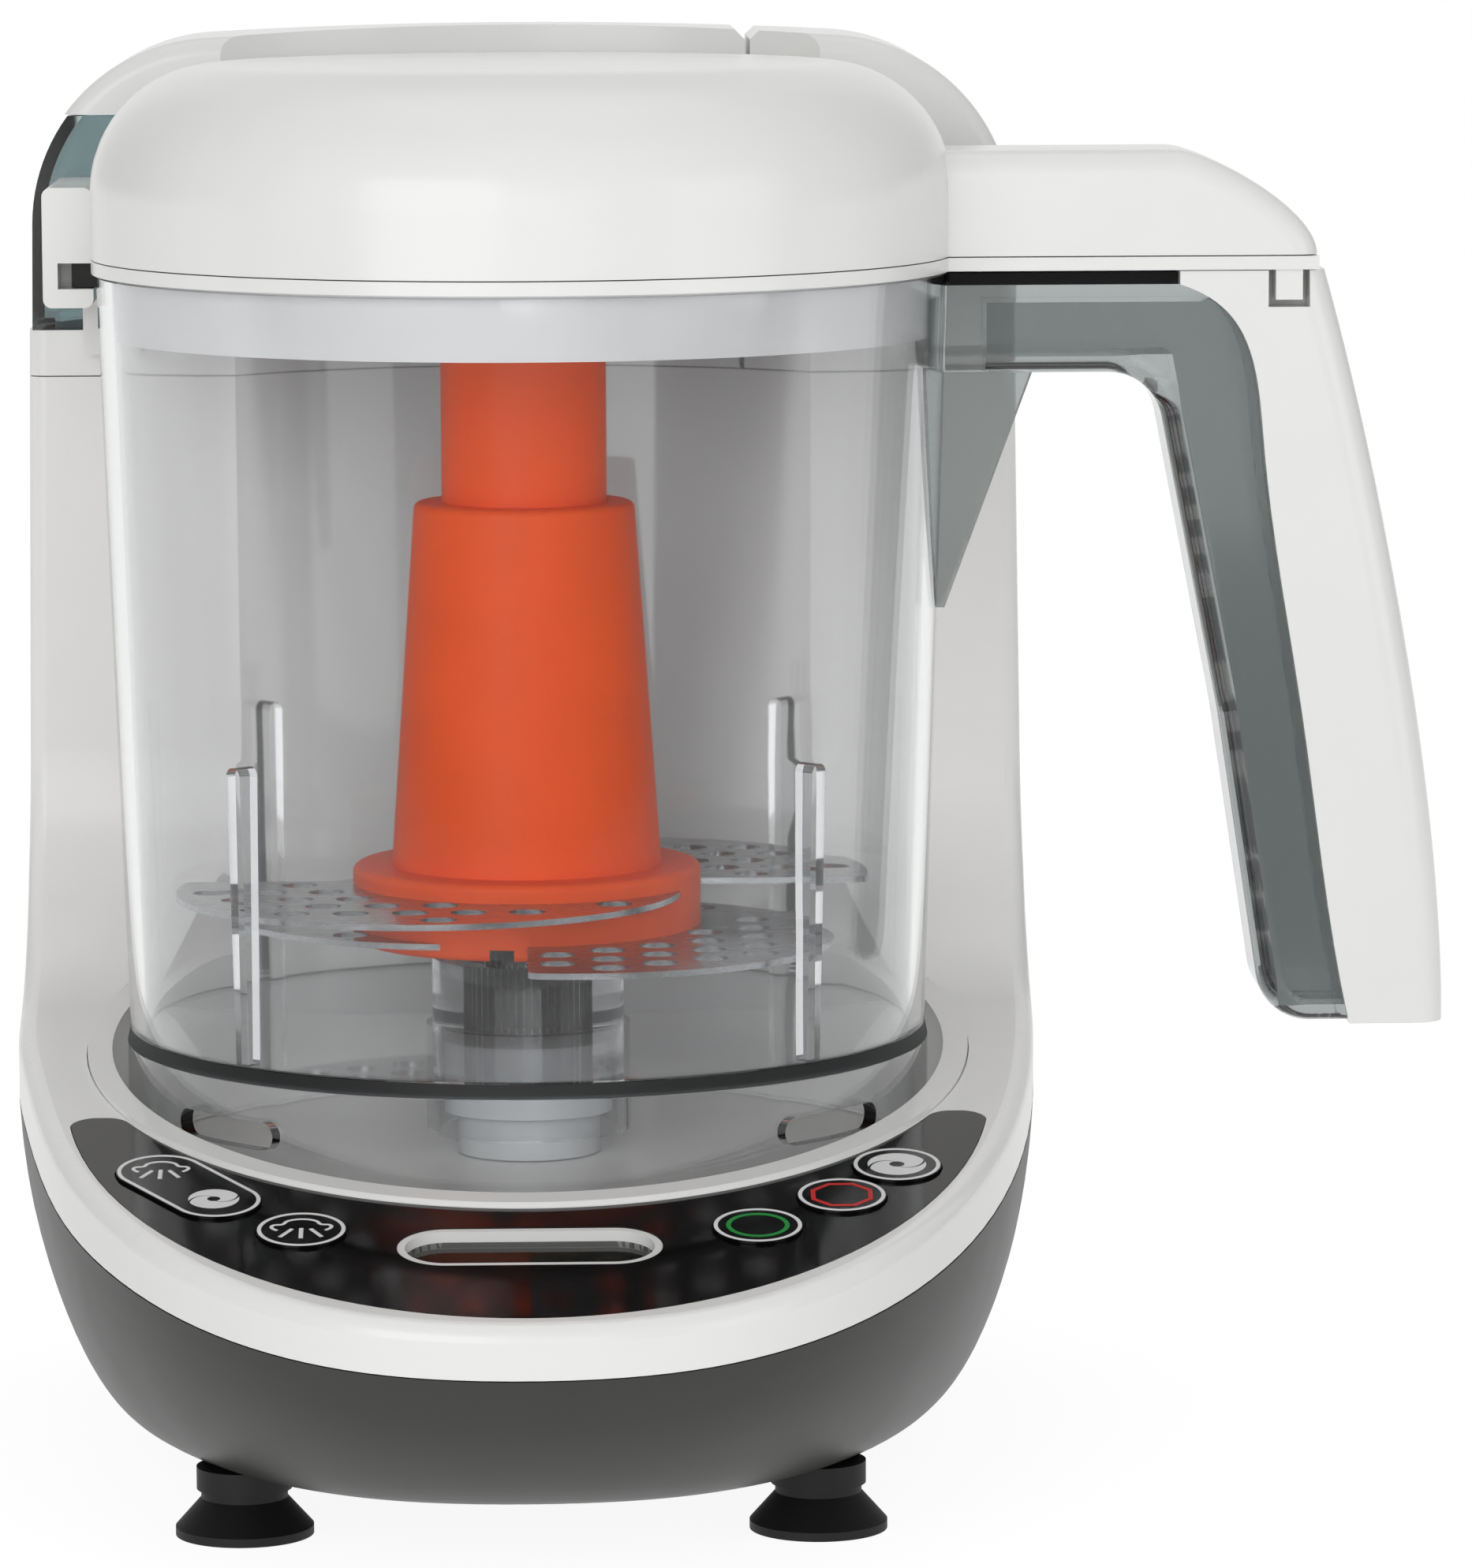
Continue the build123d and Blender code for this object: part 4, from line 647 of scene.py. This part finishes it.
class FOODMAKER_OT_control_panel(bpy.types.Operator):
    """Finish the panel, the display and the buttons, and print the buttons' symbols"""

    bl_idname = "foodmaker.control_panel"
    bl_label = "Control panel"

    def execute(self, context):
        finish = context.scene.food_maker_finishes
        dress(gloss_acrylic("gloss_black_acrylic", finish.panel, roughness=0.1), "control_panel")
        names = [name for name in NODES if name.endswith("_button")]
        dress(gloss_acrylic("gloss_black_button", finish.panel, roughness=0.16), *names)
        lens = clear_copolyester("display_glass", linear("#62665F"), roughness=0.04, ior=1.3)
        dress(lens, "display_glass")
        dress(screen_face(), "lcd_module")
        self.print_outlines(context, names)
        self.print_symbols(context)
        return {"FINISHED"}

    def print_outlines(self, context, names):
        """White outline round each cap, stretched where the cap is long."""
        sizes = context.scene.food_maker_print
        ink = printing_ink("white_screen_ink", context.scene.food_maker_finishes.white_ink)
        round_half = button_face("start_button")[1]
        for name in names:
            matrix, half_across, half_up = button_face(name)
            bm = bmesh.new()
            verts = add_ring(bm, ROUND_SEGMENTS, round_half - sizes.inset, sizes.line)
            run = Vector((half_across - round_half, -(half_up - round_half), 0.0))
            if run.length > sizes.line:
                ahead = [v for v in verts if v.co.dot(run) > 0]
                behind = [v for v in verts if v.co.dot(run) <= 0]
                bmesh.ops.translate(bm, verts=ahead, vec=run)
                bmesh.ops.translate(bm, verts=behind, vec=-run)
            thicken(bm, sizes.height)
            place_print(bm, name + "_outline", matrix, name, ink)

    def print_symbols(self, context):
        """Steam clouds, blending swirls, a green ring and a red octagon."""
        finish = context.scene.food_maker_finishes
        sizes = context.scene.food_maker_print
        white = bpy.data.materials["white_screen_ink"]
        green = printing_ink("green_screen_ink", finish.green_ink)
        red = printing_ink("red_screen_ink", finish.red_ink)
        round_half = button_face("start_button")[1]

        matrix = button_face("steam_button")[0]
        bm = bmesh.new()
        draw_steam(bm, sizes.symbol * STEAM_SHARE, sizes.line, sizes.height)
        place_print(bm, "steam_symbol", matrix, "steam_button", white)

        matrix, half_across, half_up = button_face("steam_blend_button")
        run = Vector((half_across - round_half, round_half - half_up))
        pair_size = sizes.symbol * PAIR_SHARE
        bm = bmesh.new()
        draw_swirl(bm, pair_size, sizes.height, tuple(run * PAIR_SWIRL_OFFSET))
        place_print(bm, "blend_symbol_on_pair", matrix, "steam_blend_button", white)
        bm = bmesh.new()
        draw_steam(bm, pair_size, sizes.line, sizes.height, tuple(-run))
        place_print(bm, "steam_symbol_on_pair", matrix, "steam_blend_button", white)

        matrix = button_face("blend_button")[0]
        bm = bmesh.new()
        draw_swirl(bm, sizes.symbol, sizes.height)
        place_print(bm, "blend_symbol", matrix, "blend_button", white)

        matrix = button_face("start_button")[0]
        bm = bmesh.new()
        add_ring(bm, ROUND_SEGMENTS, sizes.symbol * RING_SHARE, sizes.line * RING_LINE)
        thicken(bm, sizes.height)
        place_print(bm, "start_symbol", matrix, "start_button", green)

        matrix = button_face("stop_button")[0]
        bm = bmesh.new()
        add_ring(bm, 8, sizes.symbol * OCTAGON_SHARE, sizes.line * OCTAGON_LINE, math.pi / 8)
        thicken(bm, sizes.height)
        place_print(bm, "stop_symbol", matrix, "stop_button", red)


class FOODMAKER_OT_studio(bpy.types.Operator):
    """Set the pale floor, the room light, the softboxes and the camera"""

    bl_idname = "foodmaker.studio"
    bl_label = "Studio"

    def execute(self, context):
        studio = context.scene.food_maker_studio
        self.lay_floor(context, studio)
        self.light_room(context, studio)
        self.hang_lamp(context, "key_softbox", KEY_BOX, studio.key)
        self.hang_lamp(context, "fill_softbox", FILL_BOX, studio.fill)
        self.hang_lamp(context, "top_softbox", TOP_BOX, studio.top)
        bowl_lamp = self.hang_lamp(context, "bowl_softbox", BOWL_BOX, studio.bowl_lamp)
        bowl_lamp.visible_glossy = False
        self.aim_camera(context, studio)
        context.scene.view_settings.view_transform = "Standard"
        return {"FINISHED"}

    def seen_directly(self, tree):
        """One for camera, mirror and see-through rays, nought for the light that falls on things."""
        path = add_node(tree, "ShaderNodeLightPath")
        seen = add_node(
            tree, "ShaderNodeMath", operation="MAXIMUM",
            links={0: path.outputs["Is Camera Ray"], 1: path.outputs["Is Glossy Ray"]})
        both = add_node(
            tree, "ShaderNodeMath", operation="MAXIMUM",
            links={0: seen.outputs["Value"], 1: path.outputs["Is Transmission Ray"]})
        return both.outputs["Value"]

    def lay_floor(self, context, studio):
        """White sweep that keeps the shadow under the feet and is dim in front, as gloss sees it."""
        bm = bmesh.new()
        bmesh.ops.create_grid(bm, x_segments=1, y_segments=1, size=FLOOR_REACH)
        mesh = bpy.data.meshes.new("studio_floor")
        bm.to_mesh(mesh)
        bm.free()
        floor = bpy.data.objects.new("studio_floor", mesh)
        context.scene.collection.objects.link(floor)
        material = bpy.data.materials.new("white_paper_sweep")
        material.use_nodes = True
        tree = material.node_tree
        tree.nodes.clear()
        paper = add_node(tree, "ShaderNodeBsdfDiffuse", {"Color": shade(linear("#F4F4F4"))})
        spot = add_node(tree, "ShaderNodeNewGeometry")
        parts = add_node(tree, "ShaderNodeSeparateXYZ", links={"Vector": spot.outputs["Position"]})
        near = add_node(
            tree, "ShaderNodeMapRange", {**FLOOR_DIM, "To Min": studio.front, "To Max": 1.0},
            {"Value": parts.outputs["Y"]})
        path = add_node(tree, "ShaderNodeLightPath")
        level = add_node(
            tree, "ShaderNodeMath", operation="MAXIMUM",
            links={0: near.outputs["Result"], 1: path.outputs["Is Camera Ray"]})
        lift = add_node(
            tree, "ShaderNodeMath", {1: FLOOR_LIFT}, {0: level.outputs["Value"]},
            operation="MULTIPLY")
        glow = add_node(tree, "ShaderNodeEmission", links={"Strength": lift.outputs["Value"]})
        share = add_node(
            tree, "ShaderNodeMath", {1: FLOOR_SHARE}, {0: self.seen_directly(tree)},
            operation="MULTIPLY")
        mix = add_node(
            tree, "ShaderNodeMixShader",
            links={0: share.outputs["Value"], 1: paper.outputs["BSDF"], 2: glow.outputs["Emission"]})
        add_node(tree, "ShaderNodeOutputMaterial", links={"Surface": mix.outputs["Shader"]})
        mesh.materials.append(material)

    def light_room(self, context, studio):
        """White room, dimmer at its sides and behind the camera, with a lower light on the object."""
        world = bpy.data.worlds.new("white_room")
        context.scene.world = world
        world.use_nodes = True
        tree = world.node_tree
        tree.nodes.clear()
        path = add_node(tree, "ShaderNodeLightPath")
        way = add_node(tree, "ShaderNodeTexCoord")
        parts = add_node(tree, "ShaderNodeSeparateXYZ", links={"Vector": way.outputs["Generated"]})
        aside = add_node(
            tree, "ShaderNodeMath", operation="ABSOLUTE", links={0: parts.outputs["X"]})
        wall = add_node(
            tree, "ShaderNodeMapRange", {**SIDE_DIM, "To Min": 1.0, "To Max": studio.side},
            {"Value": aside.outputs["Value"]})
        front = add_node(
            tree, "ShaderNodeMapRange", {**FRONT_DIM, "To Min": studio.front, "To Max": 1.0},
            {"Value": parts.outputs["Y"]})
        walls = add_node(
            tree, "ShaderNodeMath", operation="MULTIPLY",
            links={0: wall.outputs["Result"], 1: front.outputs["Result"]})
        direct = add_node(
            tree, "ShaderNodeMath", operation="MAXIMUM",
            links={0: walls.outputs["Value"], 1: path.outputs["Is Camera Ray"]})
        level = add_node(
            tree, "ShaderNodeMapRange", {"To Min": studio.ambient},
            {"Value": self.seen_directly(tree), "To Max": direct.outputs["Value"]})
        room = add_node(
            tree, "ShaderNodeBackground", {"Color": (1.0, 1.0, 1.0, 1.0)},
            {"Strength": level.outputs["Result"]})
        add_node(tree, "ShaderNodeOutputWorld", links={"Surface": room.outputs["Background"]})

    def hang_lamp(self, context, name, box, power):
        """Square softbox that faces the object."""
        place, size = box
        lamp = bpy.data.lights.new(name, "AREA")
        lamp.shape = "SQUARE"
        lamp.size = size
        lamp.energy = power
        holder = bpy.data.objects.new(name, lamp)
        holder.location = place
        aim = (LAMP_TARGET - Vector(place)).to_track_quat("-Z", "Y")
        holder.rotation_euler = aim.to_euler()
        context.scene.collection.objects.link(holder)
        return holder

    def aim_camera(self, context, studio):
        """Camera in front of the drive axis, a little above the lid."""
        axis = sum(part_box("hub_stem"), Vector()) / 2
        camera = bpy.data.cameras.new("studio_camera")
        camera.lens = studio.lens
        camera.sensor_width = SENSOR_WIDTH
        holder = bpy.data.objects.new("studio_camera", camera)
        turn = Euler((math.pi / 2 - studio.pitch, 0.0, -studio.yaw)).to_matrix()
        turn = turn @ Matrix.Rotation(-studio.roll, 3, "Z")
        place = Matrix.Translation((axis.x, axis.y - studio.distance, studio.height))
        holder.matrix_world = place @ turn.to_4x4()
        context.scene.collection.objects.link(holder)
        context.scene.camera = holder


class FOODMAKER_PT_panel(bpy.types.Panel):
    """Lists the food maker's finishes and steps"""

    bl_idname = "FOODMAKER_PT_panel"
    bl_label = "Food Maker"
    bl_space_type = "VIEW_3D"
    bl_region_type = "UI"
    bl_category = "Food Maker"

    def draw(self, context):
        for step in STEPS:
            self.layout.operator(step.bl_idname)
        scene = context.scene
        for group in (scene.food_maker_finishes, scene.food_maker_print, scene.food_maker_studio):
            box = self.layout.box()
            for key in group.__annotations__:
                box.prop(group, key)


STEPS = (
    FOODMAKER_OT_mouldings,
    FOODMAKER_OT_clear_parts,
    FOODMAKER_OT_blade_set,
    FOODMAKER_OT_inner_parts,
    FOODMAKER_OT_control_panel,
    FOODMAKER_OT_studio,
)
CLASSES = (FoodMakerFinishes, FoodMakerPrint, FoodMakerStudio, *STEPS, FOODMAKER_PT_panel)


def register():
    """Add the classes and the scene's settings."""
    for cls in CLASSES:
        bpy.utils.register_class(cls)
    bpy.types.Scene.food_maker_finishes = PointerProperty(type=FoodMakerFinishes)
    bpy.types.Scene.food_maker_print = PointerProperty(type=FoodMakerPrint)
    bpy.types.Scene.food_maker_studio = PointerProperty(type=FoodMakerStudio)


def unregister():
    """Take the settings and the classes away again."""
    del bpy.types.Scene.food_maker_studio
    del bpy.types.Scene.food_maker_print
    del bpy.types.Scene.food_maker_finishes
    for cls in reversed(CLASSES):
        bpy.utils.unregister_class(cls)


def main():
    """Register the classes and run every step in order."""
    register()
    bpy.ops.foodmaker.mouldings()
    bpy.ops.foodmaker.clear_parts()
    bpy.ops.foodmaker.blade_set()
    bpy.ops.foodmaker.inner_parts()
    bpy.ops.foodmaker.control_panel()
    bpy.ops.foodmaker.studio()


if __name__ == "__main__":
    main()
